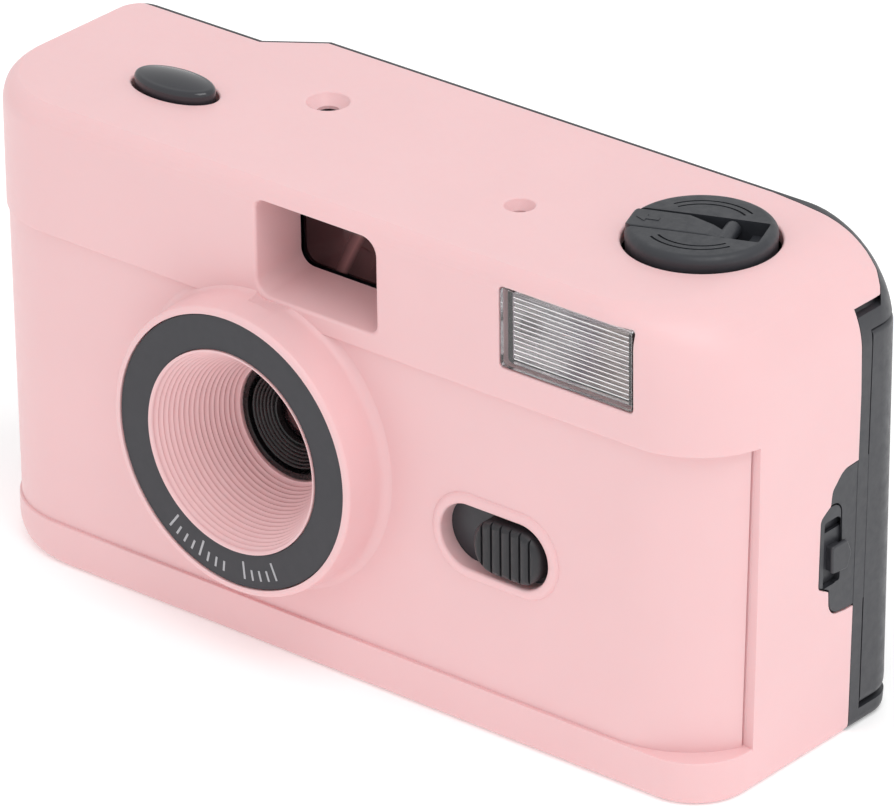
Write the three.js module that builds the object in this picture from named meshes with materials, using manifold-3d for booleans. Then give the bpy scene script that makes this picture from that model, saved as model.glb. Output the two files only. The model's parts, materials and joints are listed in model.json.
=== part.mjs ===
// Half frame 35 mm camera, in millimetres, +Z up, front towards -Y.
// Every piece is drawn with x = 0 near the middle of the body, y = 0 on the front face of the top and bottom
// bands and z = 0 on the base. The group then moves them so that the origin is under the middle of the box.
import * as THREE from 'three';
import { mergeVertices } from 'three/addons/utils/BufferGeometryUtils.js';
import { ConvexGeometry } from 'three/addons/geometries/ConvexGeometry.js';
import Module from 'manifold-3d';

const wasm = await Module();
wasm.setup();

// ---------------------------------------------------------------- driving dimensions
const LEFT = 55;
const RIGHT = 57.5;
const RIGHT_TAPER = 1.3;
const HEIGHT = 59;
const DEPTH = 35.6;
const WALL = 1.5;
const GAP = 0.3;
const FAR = 80;
const FINEST = 0.004;

const BOSS_REACH = 5.6;
const RECESS = 0.5;
const BAND_TOP = 43.2;
const BAND_BOTTOM = 5.4;
const GROOVE_Y = 8.3;

const THIN_BACK = 30.9;
const THIN_END_X = -34.4;
const STEP_END_X = -27.8;
const SHELL_BACK_SHIFT = 9.2;
const SHELL_TOP_SHIFT = 1.0;
const SHELL_NOTCH_Z = 53.2;
const DOOR_SHIFT = 7.0;
const DOOR = { low: 4, high: 50.2, plate: 1.6 };

const LENS = { x: -8.5, z: 27.4 };
const RING = { inner: 12.6, outer: 16.8, front: -5.4, back: -4.6 };
const WELL = { front: 12.2, back: 7.6, depth: 4.6 };
const FINDER = { x0: -8.9, x1: 8.9, z0: 45.5, z1: 57.2, depth: 7.3, taper: 0.5, floorRise: 1.3 };
const FLASH = { x0: 26.8, x1: 45.8, z0: 47.1, z1: 57.1 };
const SWITCH = { x: 25.7, z: 24.2, length: 15.6, height: 8, lip: 1.2, plate: 2.8 };
const SLIDER = { length: 9.6, height: 6.6, front: -0.6, travel: 4.9 };
const BUTTON = { x: -33.1, y: 13.8, a: 6.4, b: 3.1, top: 60.7 };
const STEM = { x: -31.5, y: 11.6 };
const KNOB = { x: 39.2, y: 20.5, hole: 9.05, radius: 8.6, top: 60.6, low: 56.8 };
const CRANK = { angle: 21.5, width: 4.4, floor: 58.3, tip: -9.6, pivot: 3.0, pivotZ: 59.6, cavityEnd: 7.3 };
const CASSETTE = { x: KNOB.x, y: KNOB.y, radius: 12.9, low: 6.2, high: 48.5 };
const SPOOL = { x: -41.8, y: 20.2, chamber: 9.8, radius: 5, low: 6.2, high: 48 };
const WHEEL = { radius: 11.1, low: 50.9, high: 54.9, teeth: 36 };
const SPROCKET = { x: -24.2, y: 23.2, radius: 5.6, tip: 6.5, teeth: 8 };
const COUNTER = { x: -40, y: 16, radius: 8 };
const GATE = { halfWidth: 9, halfHeight: 12, front: 27.6, back: 29 };
const HINGE = { x: -51.6, y: 28.9, pin: 0.8, hole: 1.15, knuckle: 1.6 };
const BATTERY = { x: 24.4, y0: 4.4, y1: 14.4, top: 12.9 };
const LATCH = { y0: 19.4, y1: 23.4, z0: 19.6, z1: 30.7 };
const TOP_SCREWS = [['left', -17.2, 22.5], ['right', 17.9, 14.6]];
const BASE_SCREWS = [['left', -27.2, 12], ['right', 33.5, 7.5]];
const BLADE_PIN = { x: -16, z: 33.5, radius: 0.8 };
const LEVER_PIN = { x: -22, z: 46.5, radius: 0.9 };
const LEVER = { front: 10.8, back: 12 };
const SHELF = { low: 3.9, high: 5.4 };

// ---------------------------------------------------------------- materials
const finish = (color, roughness, metalness = 0) =>
  new THREE.MeshStandardMaterial({ color, roughness, metalness });
const pinkPlastic = () => finish(0xf2c4c4, 0.45);
const blackPlastic = () => finish(0x2a2a2d, 0.4);
const glossBlack = () => finish(0x3a3b40, 0.18);
const clearPlastic = () => {
  const clear = finish(0xdcdce0, 0.08);
  clear.transparent = true;
  clear.opacity = 0.5;
  return clear;
};
const coatedGlass = () => finish(0x3a1c24, 0.05);
const steel = () => finish(0xb9bbbe, 0.3, 1);
const mirror = () => finish(0xe6e6e8, 0.12, 1);
const boardGreen = () => finish(0x1f5a3a, 0.5);
const ledOrange = () => finish(0xd9621e, 0.3);
const dialWhite = () => finish(0xe4e4e0, 0.5);

// ---------------------------------------------------------------- solids
function solid(geometry) {
  const bare = geometry.clone();
  bare.deleteAttribute('normal');
  bare.deleteAttribute('uv');
  const merged = mergeVertices(bare, 1e-4);
  const vertProperties = new Float32Array(merged.attributes.position.array);
  const triVerts = new Uint32Array(merged.index.array);
  if (signedVolume(vertProperties, triVerts) < 0) triVerts.reverse();
  return new wasm.Manifold(new wasm.Mesh({ numProp: 3, vertProperties, triVerts }));
}

function signedVolume(points, triangles) {
  const corner = (i) => new THREE.Vector3().fromArray(points, 3 * triangles[i]);
  let total = 0;
  for (let i = 0; i < triangles.length; i += 3) {
    total += corner(i).dot(corner(i + 1).cross(corner(i + 2)));
  }
  return total / 6;
}

const join = (first, ...others) => others.reduce((sum, next) => sum.add(next), first);
const cut = (first, ...others) => others.reduce((rest, next) => rest.subtract(next), first);

// Slivers thinner than FINEST are closed up, so that no two corners of a piece fall together.
function piece(name, body, material) {
  const data = body.simplify(FINEST).getMesh();
  const geometry = new THREE.BufferGeometry();
  geometry.setAttribute('position', new THREE.BufferAttribute(data.vertProperties, 3));
  geometry.setIndex(new THREE.BufferAttribute(data.triVerts, 1));
  geometry.computeVertexNormals();
  const mesh = new THREE.Mesh(geometry, material);
  mesh.name = name;
  return mesh;
}

function block(x0, x1, y0, y1, z0, z1) {
  const box = new THREE.BoxGeometry(x1 - x0, y1 - y0, z1 - z0);
  return solid(box.translate((x0 + x1) / 2, (y0 + y1) / 2, (z0 + z1) / 2));
}

function rodZ(x, y, z0, z1, radius, sides = 16, topRadius = radius) {
  const rod = new THREE.CylinderGeometry(topRadius, radius, z1 - z0, sides);
  return solid(rod.rotateX(Math.PI / 2).translate(x, y, (z0 + z1) / 2));
}

function rodY(x, z, y0, y1, radius, sides = 16) {
  const rod = new THREE.CylinderGeometry(radius, radius, y1 - y0, sides);
  return solid(rod.translate(x, (y0 + y1) / 2, z));
}

function rodX(y, z, x0, x1, radius, sides = 12) {
  const rod = new THREE.CylinderGeometry(radius, radius, x1 - x0, sides);
  return solid(rod.rotateZ(Math.PI / 2).translate((x0 + x1) / 2, y, z));
}

// A profile of [radius, y] points turned about the line through (x, z) along Y.
function turnedY(x, z, profile, sides = 36) {
  const points = [...profile, profile[0]].map(([r, y]) => new THREE.Vector2(r, y));
  return solid(new THREE.LatheGeometry(points, sides).translate(x, 0, z));
}

// A profile of [radius, z] points turned about the upright line through (x, y).
function turnedZ(x, y, profile, sides = 36) {
  const points = [...profile, profile[0]].map(([r, z]) => new THREE.Vector2(r, z));
  return solid(new THREE.LatheGeometry(points, sides).rotateX(Math.PI / 2).translate(x, y, 0));
}

const extrude = (shape, depth, curveSegments = 4) =>
  new THREE.ExtrudeGeometry(shape, { depth, bevelEnabled: false, curveSegments });

// Outlines drawn in plan, from the front and from the side become prisms along Z, Y and X.
const prismZ = (shape, z0, z1, arcs) => solid(extrude(shape, z1 - z0, arcs).translate(0, 0, z0));
const prismY = (shape, y0, y1, arcs) =>
  solid(extrude(shape, y1 - y0, arcs).rotateX(Math.PI / 2).translate(0, y1, 0));

function prismX(shape, x0, x1, arcs) {
  const turn = new THREE.Matrix4().makeBasis(
    new THREE.Vector3(0, 1, 0),
    new THREE.Vector3(0, 0, 1),
    new THREE.Vector3(1, 0, 0),
  );
  return solid(extrude(shape, x1 - x0, arcs).applyMatrix4(turn).translate(x0, 0, 0));
}

const polygon = (points) => new THREE.Shape(points.map(([x, y]) => new THREE.Vector2(x, y)));

// A rectangle whose corner radii go round from the low left one.
function roundedRectangle(x0, x1, y0, y1, [lowLeft, lowRight, highRight, highLeft]) {
  const shape = new THREE.Shape();
  shape.moveTo(x0 + lowLeft, y0);
  shape.lineTo(x1 - lowRight, y0);
  shape.absarc(x1 - lowRight, y0 + lowRight, lowRight, -Math.PI / 2, 0);
  shape.absarc(x1 - highRight, y1 - highRight, highRight, 0, Math.PI / 2);
  shape.absarc(x0 + highLeft, y1 - highLeft, highLeft, Math.PI / 2, Math.PI);
  shape.absarc(x0 + lowLeft, y0 + lowLeft, lowLeft, Math.PI, 1.5 * Math.PI);
  return shape;
}

function stadium(x, z, length, height) {
  const r = height / 2;
  const ends = [r, r, r, r].map((radius) => radius - 0.001);
  return roundedRectangle(x - length / 2, x + length / 2, z - r, z + r, ends);
}

function ellipsePrism(x, y, a, b, z0, z1, sides = 24) {
  const shape = new THREE.Shape().absellipse(x, y, a, b, 0, 2 * Math.PI);
  return prismZ(shape, z0, z1, sides / 2);
}

function gearShape(x, y, root, tip, teeth) {
  const points = [];
  for (let i = 0; i < teeth; i += 1) {
    for (const [part, radius] of [[0, root], [0.3, root], [0.5, tip], [0.8, tip]]) {
      const angle = (2 * Math.PI * (i + part)) / teeth;
      points.push([x + radius * Math.cos(angle), y + radius * Math.sin(angle)]);
    }
  }
  return polygon(points);
}

function coilSpring(x, y, z0, z1, radius, wire, turns) {
  const stepsPerTurn = 8;
  const points = [];
  for (let i = 0; i <= turns * stepsPerTurn; i += 1) {
    const angle = (2 * Math.PI * i) / stepsPerTurn;
    const z = z0 + wire + ((z1 - z0 - 2 * wire) * i) / (turns * stepsPerTurn);
    points.push(new THREE.Vector3(x + radius * Math.cos(angle), y + radius * Math.sin(angle), z));
  }
  const path = new THREE.CatmullRomCurve3(points);
  const section = new THREE.Shape().absarc(0, 0, wire, 0, 2 * Math.PI);
  const steps = turns * stepsPerTurn;
  return solid(new THREE.ExtrudeGeometry(section, { steps, extrudePath: path, curveSegments: 3 }));
}

// ---------------------------------------------------------------- body outlines
// In plan: big round front corners and a step in the back.
function bodyPlan() {
  const left = 12.6;
  const right = 10;
  const rearRight = 5.5;
  const rear = 3;
  const shape = new THREE.Shape();
  shape.moveTo(-LEFT, THIN_BACK - rear);
  shape.absarc(-LEFT + left, left, left, Math.PI, 1.5 * Math.PI);
  shape.absarc(RIGHT - right, right, right, -Math.PI / 2, 0);
  shape.absarc(RIGHT - rearRight, DEPTH - rearRight, rearRight, 0, Math.PI / 2);
  shape.lineTo(STEP_END_X, DEPTH);
  shape.lineTo(THIN_END_X, THIN_BACK);
  shape.absarc(-LEFT + rear, THIN_BACK - rear, rear, Math.PI / 2, Math.PI);
  return shape;
}

// Seen from the front: a wide soft corner at the upper right.
const bodyFront = (inset) =>
  roundedRectangle(-LEFT + inset, RIGHT - inset, inset, HEIGHT - inset, [2, 1, 10 - inset, 2.5]);

// Seen from the front: everything left of the right side, which leans in towards the base.
const rightTaper = (inset) => prismY(polygon([
  [-FAR, -BAND_TOP],
  [RIGHT - inset - 2 * RIGHT_TAPER, -BAND_TOP],
  [RIGHT - inset, BAND_TOP],
  [RIGHT - inset, FAR],
  [-FAR, FAR],
]), -FAR, FAR);

// Seen from the side: the top rolls over into the front.
const bodySide = (inset, y1) =>
  roundedRectangle(inset, y1, inset, HEIGHT - inset, [1.2, 0.8, 0.8, Math.max(3 - inset, 0.8)]);

const bodyBlock = prismZ(bodyPlan(), 0, HEIGHT)
  .intersect(prismY(bodyFront(0), -FAR, FAR))
  .intersect(prismX(bodySide(0, DEPTH), -FAR, FAR, 3))
  .intersect(rightTaper(0));

// Everything in front of the back outline moved forward by shift.
function ahead(shift, z0 = -FAR, z1 = FAR) {
  const outline = polygon([
    [-FAR, -FAR],
    [FAR, -FAR],
    [FAR, DEPTH - shift],
    [STEP_END_X, DEPTH - shift],
    [THIN_END_X, THIN_BACK - shift],
    [-FAR, THIN_BACK - shift],
  ]);
  return prismZ(outline, z0, z1);
}

// The recessed middle panel: on the right it curves in early and ends at an upright groove.
function panelPlan(inset) {
  const left = 12.1;
  const right = 13;
  const centre = { x: RIGHT - right - 0.1, y: RECESS + right };
  const grooveAngle = -Math.asin((centre.y - GROOVE_Y) / right);
  const shape = new THREE.Shape();
  shape.moveTo(-LEFT + RECESS + inset, FAR);
  shape.lineTo(-LEFT + RECESS + inset, RECESS + left);
  shape.absarc(-LEFT + RECESS + left, RECESS + left, left - inset, Math.PI, 1.5 * Math.PI);
  if (inset > 0) {
    shape.absarc(centre.x, centre.y, right - inset, -Math.PI / 2, 0);
    shape.lineTo(RIGHT - inset, FAR);
  } else {
    shape.absarc(centre.x, centre.y, right, -Math.PI / 2, grooveAngle);
    shape.lineTo(FAR, GROOVE_Y);
    shape.lineTo(FAR, FAR);
  }
  return shape;
}

// ---------------------------------------------------------------- front shell
function frontShell() {
  const skin = bodyBlock.intersect(join(
    ahead(SHELL_BACK_SHIFT),
    ahead(SHELL_TOP_SHIFT, SHELL_NOTCH_Z, FAR),
  ));
  const hollow = prismZ(panelPlan(WALL + 0.1), -FAR, FAR)
    .intersect(prismY(bodyFront(WALL), -FAR, FAR))
    .intersect(prismX(bodySide(WALL, FAR), -FAR, FAR, 3))
    .intersect(rightTaper(WALL));
  const band = cut(block(-FAR, FAR, -FAR, FAR, BAND_BOTTOM, BAND_TOP), prismZ(panelPlan(0), -FAR, FAR));
  let shell = cut(skin, hollow, band);
  const well = turnedY(LENS.x, LENS.z, [[0, -FAR], [19, -FAR], [19, 8], [0, 8]]);
  shell = join(cut(shell, well.intersect(block(-FAR, FAR, -1, 3, 0, 42))), lensBoss());
  shell = join(shell, finderFunnel(1));
  shell = cut(shell, finderFunnel(0), flashOpening(), ...topHoles(), ...baseHoles(), latchNotch());
  const lip = prismY(stadium(SWITCH.x, SWITCH.z, SWITCH.length + 2 * SWITCH.lip,
    SWITCH.height + 2 * SWITCH.lip), 0.1, 1.5);
  const hole = prismY(stadium(SWITCH.x, SWITCH.z, SWITCH.length, SWITCH.height), -1, 4);
  return cut(join(shell, lip), hole);
}

// The lens boss with its ring seat and the tapering lens well.
function lensBoss() {
  return turnedY(LENS.x, LENS.z, [
    [18.4, 2.1], [18.2, 0.6], [17.9, -5], [17.4, -BOSS_REACH], [16.95, -BOSS_REACH], [16.95, -4.3],
    [12.5, -4.3], [12.5, -5.5], [WELL.front, -5.5], [WELL.back, WELL.depth], [WELL.back, 6], [9, 6],
    [9, 5], [13.6, -2.8], [16.4, -2.8], [16.9, 2.1], [19, 2.1], [19.4, 0.9], [19, 0.5],
  ]);
}

// The viewfinder's funnel, grown outwards by wall and cut off where the window sits.
function finderFunnel(wall) {
  const reach = wall > 0 ? [0.6, FINDER.depth] : [-1, FINDER.depth + 0.1];
  const corners = [];
  for (const y of reach) {
    const t = y / FINDER.depth;
    const z0 = FINDER.z0 + FINDER.floorRise * t - wall;
    const z1 = Math.min(FINDER.z1 - FINDER.taper * t + wall, HEIGHT - 0.8);
    for (const x of [FINDER.x0 + FINDER.taper * t - wall, FINDER.x1 - FINDER.taper * t + wall]) {
      corners.push(new THREE.Vector3(x, y, z0), new THREE.Vector3(x, y, z1));
    }
  }
  return solid(new ConvexGeometry(corners));
}

const flashOpening = () => block(FLASH.x0, FLASH.x1, -2, 6.5, FLASH.z0, FLASH.z1);

function topHoles() {
  const wells = TOP_SCREWS.flatMap(([, x, y]) => [
    rodZ(x, y, HEIGHT - 1.1, HEIGHT + 0.1, 1.7, 20, 2.7),
    rodZ(x, y, 50, HEIGHT, 1.8),
  ]);
  return [
    ...wells,
    rodZ(KNOB.x, KNOB.y, 50, FAR, KNOB.hole, 40),
    ellipsePrism(BUTTON.x, BUTTON.y, BUTTON.a, BUTTON.b, 50, FAR),
  ];
}

function baseHoles() {
  const wells = BASE_SCREWS.map(([, x, y]) => rodZ(x, y, -1, 3, 2.1));
  return [
    ...wells,
    block(-BATTERY.x - 0.4, BATTERY.x + 6, BATTERY.y0 - 0.5, BATTERY.y1 + 0.5, -1, 3),
    rodZ(SPROCKET.x, SPROCKET.y, -1, 3, 2.4),
    rodZ(COUNTER.x, COUNTER.y - 5.5, -1, 3, 2.6),
  ];
}

// The stepped notch in the right side wall that the latch plate fills.
function latchNotch() {
  const outline = polygon([
    [19.1, 21.6], [19.1, 30.3], [21, 31.5], [22.6, 34.5], [FAR, 34.5], [FAR, 16.8], [22.9, 16.8], [21.2, 19.3],
  ]);
  return prismX(outline, RIGHT - 3, RIGHT + 1);
}

// ---------------------------------------------------------------- main chassis
function mainChassis() {
  const rear = cut(bodyBlock, ahead(SHELL_BACK_SHIFT - GAP),
    ahead(SHELL_TOP_SHIFT - 0.2, SHELL_NOTCH_Z - GAP, FAR));
  const doorSpace = cut(block(-FAR, FAR, -FAR, FAR, DOOR.low - GAP, DOOR.high + GAP),
    ahead(DOOR_SHIFT + GAP));
  const inside = block(-52.4, 54.2, -FAR, FAR, 5, DOOR.high);
  const hingeSpace = block(-FAR, -49.3, 26.8, FAR, DOOR.low - GAP, DOOR.high + GAP);
  const rim = cut(rear, doorSpace, inside, hingeSpace);
  const upperWall = cut(
    ahead(SHELL_TOP_SHIFT - 0.2, DOOR.high + GAP, HEIGHT - WALL - 0.2),
    ahead(2.6),
    block(-FAR, -52.5, -FAR, FAR, -FAR, FAR),
    block(52, FAR, -FAR, FAR, -FAR, FAR),
  ).intersect(prismY(bodyFront(WALL + 0.2), -FAR, FAR));
  const inner = join(...filmChambers(), ...filmGate(), ...batteryBay(), ...deck());
  const frame = join(rim, upperWall, inner.intersect(ahead(DOOR.plate + GAP)));
  return cut(join(frame, latchPlate(), ...hingeLugs()), ...chassisOpenings());
}

function filmChambers() {
  const { x, y, radius, low, high } = CASSETTE;
  const skin = 1;
  const cassetteOuter = join(
    rodZ(x, y, low - 1.2, high + 1.2, radius + skin, 32),
    block(x - radius - skin, x + radius + skin, y, 30.5, low - 1.2, high + 1.2),
  );
  const cassette = cut(cassetteOuter, rodZ(x, y, low, high, radius, 32),
    block(x - radius, x + radius, y, FAR, low, high), rodZ(x, y, low, FAR, 2.6));
  const takeUpOuter = join(
    rodZ(SPOOL.x, SPOOL.y, SPOOL.low - 1.2, SPOOL.high + 1.2, SPOOL.chamber + skin, 28),
    block(SPOOL.x - SPOOL.chamber - skin, SPOOL.x + SPOOL.chamber + skin, SPOOL.y, 26.6,
      SPOOL.low - 1.2, SPOOL.high + 1.2),
  );
  const takeUp = cut(takeUpOuter, rodZ(SPOOL.x, SPOOL.y, SPOOL.low, SPOOL.high, SPOOL.chamber, 28),
    block(SPOOL.x - SPOOL.chamber, SPOOL.x + SPOOL.chamber, SPOOL.y, FAR, SPOOL.low, SPOOL.high),
    rodZ(SPOOL.x, SPOOL.y, SPOOL.low, FAR, 2.6));
  return [cassette, takeUp];
}

// The film gate plate and the black box that tapers from it to the lens.
function filmGate() {
  const plate = cut(
    block(-31.4, 26.6, GATE.front, GATE.back, 3.4, 47),
    block(-32.6, -18.9, GATE.front - 1, GATE.back + 1, 8.4, 44.6),
  );
  const boxOuter = lightBox(1);
  const collar = rodY(LENS.x, LENS.z, 12.7, 13.8, 5.5);
  const shelves = [
    block(-52, -18, 25, 27.6, SHELF.low, SHELF.high),
    block(-20, 52, 27, 30.2, SHELF.low, SHELF.high),
    block(-52, -18, 25.4, 27.6, 48, 50.4),
    block(-20, 52, 27, 30.2, 48.6, 50.4),
    block(-31.4, -19, 17, 28, SHELF.low + 0.3, SHELF.high + 0.2),
    block(-31.4, -19.5, 17, 28, 47.4, 49),
    block(BLADE_PIN.x - 2, BLADE_PIN.x + 3, 12, 14.6, 30, 36),
    rodY(BLADE_PIN.x, BLADE_PIN.z, 9.2, 13, BLADE_PIN.radius, 12),
    rodY(LEVER_PIN.x, LEVER_PIN.z, LEVER.front - 0.6, 16, LEVER_PIN.radius, 12),
    block(LEVER_PIN.x - 2, -10, 14.2, 18, 44.6, 48.4),
  ];
  return [plate, boxOuter, collar, ...shelves];
}

function lightBox(wall) {
  const corners = [];
  const ends = [[12.7, 4.5 + wall, 5.5 + wall], [GATE.front + 0.5, GATE.halfWidth + wall,
    GATE.halfHeight + wall]];
  for (const [y, halfWidth, halfHeight] of ends) {
    for (const sx of [-1, 1]) {
      for (const sz of [-1, 1]) {
        corners.push(new THREE.Vector3(LENS.x + sx * halfWidth, y, LENS.z + sz * halfHeight));
      }
    }
  }
  return solid(new ConvexGeometry(corners));
}

function batteryBay() {
  const skin = 1;
  const { x, y0, y1, top } = BATTERY;
  const bay = cut(
    block(-x - skin, x + skin, y0 - skin, y1 + skin, WALL + GAP, top + skin),
    block(-x, x, y0, y1, -1, top),
  );
  const shelf = block(-16, 16, y1, GATE.front + 1, top, top + skin);
  const posts = BASE_SCREWS.map(([, px, py]) => rodZ(px, py, 2.9, 9, 2.2));
  return [bay, shelf, ...posts];
}

function deck() {
  const posts = TOP_SCREWS.map(([, x, y]) => rodZ(x, y, 45, 55.9, 2.3));
  return [
    block(-20, 27.5, 15, 29, 44.6, 46),
    block(-14, 27, 10, 16, 44.6, 46),
    ...posts,
  ];
}

// The side plate with the latch slot, filling the shell's notch.
function latchPlate() {
  const outline = polygon([
    [19.4, 21.8], [19.4, 30.1], [21.2, 31.3], [22.8, 34.2], [28.3, 34.2], [28.3, 17.1], [23.1, 17.1],
    [21.5, 19.4],
  ]);
  const link = block(53, RIGHT - 1.6, 24.4, 28.3, 17.1, 34.2);
  return join(prismX(outline, RIGHT - 1.7, RIGHT), link).intersect(bodyBlock);
}

function hingeLugs() {
  return [[DOOR.low - 1, 8.4], [45.8, DOOR.high + 1]].map(([z0, z1]) => join(
    rodZ(HINGE.x, HINGE.y, z0, z1, HINGE.knuckle),
    block(HINGE.x - HINGE.knuckle, HINGE.x + HINGE.knuckle, 25.4, HINGE.y, z0, z1),
  ));
}

function chassisOpenings() {
  const bores = [...TOP_SCREWS.map(([, x, y]) => rodZ(x, y, 50, FAR, 1.15)),
    ...BASE_SCREWS.map(([, x, y]) => rodZ(x, y, -1, 8, 1.15))];
  return [
    ...bores,
    lightBox(0),
    rodY(LENS.x, LENS.z, 11, 16, 3.8),
    block(LENS.x - GATE.halfWidth, LENS.x + GATE.halfWidth, 27, 30, LENS.z - GATE.halfHeight,
      LENS.z + GATE.halfHeight),
    rodZ(HINGE.x, HINGE.y, DOOR.low - 0.4, DOOR.high + 0.4, HINGE.hole),
    rodZ(SPROCKET.x, SPROCKET.y, 0, FAR, 1.9),
    block(RIGHT - 1.75, RIGHT + 1, LATCH.y0 + 0.4, LATCH.y1, LATCH.z0 + 2.6, LATCH.z1 - 0.6),
    block(RIGHT - 1.75, RIGHT - 0.7, LATCH.y0 + 0.4, FAR, LATCH.z0 + 1.4, LATCH.z1 + 1.4),
    block(-6, 6, 30, FAR, 50.9, 56.2),
    rodY(12, 52.5, 30, FAR, 1.6),
    block(-51.6, -32.5, 24.5, FAR, 50.7, 55.2),
    cut(block(-50.5, -34.4, 20, FAR, 50.8, 57.6), ahead(1.1)),
    rodZ(SPOOL.x, SPOOL.y, SPOOL.high, 60, 2.6),
    rodZ(SPOOL.x, SPOOL.y, WHEEL.low - 0.2, WHEEL.high + 0.3, WHEEL.radius + 0.4, 32),
    rodZ(COUNTER.x, COUNTER.y, 2.1, 3.7, COUNTER.radius + 0.3, 32),
    block(-9.7, 9.7, 8.5, 31.2, 46, FAR),
  ];
}

// ---------------------------------------------------------------- pieces
const pieces = [];
const add = (name, body, material) => pieces.push(piece(name, body, material));

add('front_shell', frontShell(), pinkPlastic());
add('main_chassis', mainChassis(), blackPlastic());

// Lens group, along the optical axis.
const disc = (y0, y1, radius, bore) =>
  turnedY(LENS.x, LENS.z, [[bore, y0], [radius, y0], [radius, y1], [bore, y1]], 32);
add('lens_ring', disc(RING.front, RING.back, RING.outer, RING.inner), blackPlastic());
add('lens_barrel', turnedY(LENS.x, LENS.z, [
  [3.4, 7], [6.1, 5.5], [6.5, 4.9], [7.3, 4.9], [7.3, 8.8], [3.4, 8.8],
]), blackPlastic());
add('front_lens_element', rodY(LENS.x, LENS.z, 7.2, 8.6, 3.1, 32), coatedGlass());
add('aperture_plate', disc(9.1, 9.5, 6.2, 1), steel());
add('rear_lens_element', rodY(LENS.x, LENS.z, 11, 12.3, 3.4, 32), coatedGlass());
add('shutter_blade', cut(
  join(
    rodY(LENS.x, LENS.z, 9.9, 10.5, 4.2),
    rodY(BLADE_PIN.x, BLADE_PIN.z, 9.9, 10.5, 2.2, 16),
    prismY(polygon([[-17.4, 31.9], [-12.2, 25.5], [-5.9, 30.7], [-14.6, 35.2]]), 9.9, 10.5),
  ),
  rodY(BLADE_PIN.x, BLADE_PIN.z, 9, 12, BLADE_PIN.radius + 0.2, 16),
), steel());
add('shutter_release_lever', cut(
  join(
    rodY(LEVER_PIN.x, LEVER_PIN.z, LEVER.front, LEVER.back, 2.4, 20),
    prismY(polygon([[-24, 47.4], [-21, 48.6], [-30.2, 54.6], [-32.6, 54.6], [-32.6, 53.2]]),
      LEVER.front, LEVER.back),
    prismY(polygon([[-24.2, 46], [-19.8, 46.6], [-16.9, 38.2], [-18.6, 38.2]]), LEVER.front, LEVER.back),
  ),
  rodY(LEVER_PIN.x, LEVER_PIN.z, 9, 14, LEVER_PIN.radius + 0.2, 16),
), steel());

// Viewfinder: front window, tunnel and eyepiece.
add('viewfinder_front_lens', block(-8.3, 8.3, 7.6, 8.5, 46.9, 56.7), coatedGlass());
add('viewfinder_housing', cut(
  block(-9.3, 9.3, 8.8, 30.6, 46.3, 57.2),
  block(-8.3, 8.3, 8, 25, 47.3, 56.3),
  block(-5.4, 5.4, 20, 31, 50.8, 55.8),
), blackPlastic());
add('viewfinder_eyepiece', join(
  block(-5.6, 5.6, 31, 32.6, 51.2, 55.9),
  block(-4.4, 4.4, 32.5, 35.2, 51.4, 55.4),
), clearPlastic());

// Flash: window, reflector, tube, board, capacitor and ready lamp.
add('flash_window', block(FLASH.x0 + 0.15, FLASH.x1 - 0.15, 0.15, 1.9, FLASH.z0 + 0.15, FLASH.z1 - 0.15),
  clearPlastic());
add('flash_reflector', cut(
  block(FLASH.x0 + 0.6, FLASH.x1 - 0.6, 2.3, 6.2, FLASH.z0 + 0.6, FLASH.z1 - 0.6),
  prismX(polygon([[1, 48.2], [4.6, 49.8], [5.6, 52.1], [4.6, 54.4], [1, 56]]), FLASH.x0 + 1.2,
    FLASH.x1 - 1.2),
), mirror());
add('flash_tube', rodX(3.8, 52.1, FLASH.x0 + 1.6, FLASH.x1 - 1.6, 1.1), clearPlastic());
add('flash_circuit_board', block(12.5, 34, 5.4, 6.6, 15, 43.6), boardGreen());
add('flash_capacitor', rodY(24.1, 53.5, 8, 26, 3.5, 20), glossBlack());
add('flash_ready_lamp', rodY(12, 52.5, 31.5, 35.3, 1.3, 20), ledOrange());

// Flash switch: fixed plate and the ribbed slider that runs along the slot.
add('flash_switch_plate', block(16.2, 35.2, SWITCH.plate, SWITCH.plate + 1.2, 18.4, 30), blackPlastic());
function sliderBody() {
  const x = SWITCH.x + SWITCH.length / 2 - SLIDER.length / 2 - 0.8;
  const ribs = [];
  for (let i = 0; i < 6; i += 1) {
    const at = x - SLIDER.length / 2 + 1.6 + 1.35 * i;
    ribs.push(block(at - 0.3, at + 0.3, SLIDER.front - 1, SLIDER.front + 0.5, 10, 40));
  }
  const knob = prismY(stadium(x, SWITCH.z, SLIDER.length, SLIDER.height), SLIDER.front, SWITCH.plate - GAP);
  return cut(knob, ...ribs);
}
add('flash_switch_slider', sliderBody(), blackPlastic());

// Shutter button on its spring.
add('shutter_button', join(
  ellipsePrism(BUTTON.x, BUTTON.y, BUTTON.a - 0.4, BUTTON.b - 0.4, 56.8, BUTTON.top - 0.6),
  ellipsePrism(BUTTON.x, BUTTON.y, BUTTON.a - 1.1, BUTTON.b - 0.9, 59, BUTTON.top),
  rodZ(STEM.x, STEM.y, 54.9, 57, 1.1, 16),
), glossBlack());
add('shutter_button_spring', coilSpring(-35.8, 13.8, 55.2, 56.6, 1.2, 0.15, 3), steel());

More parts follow.
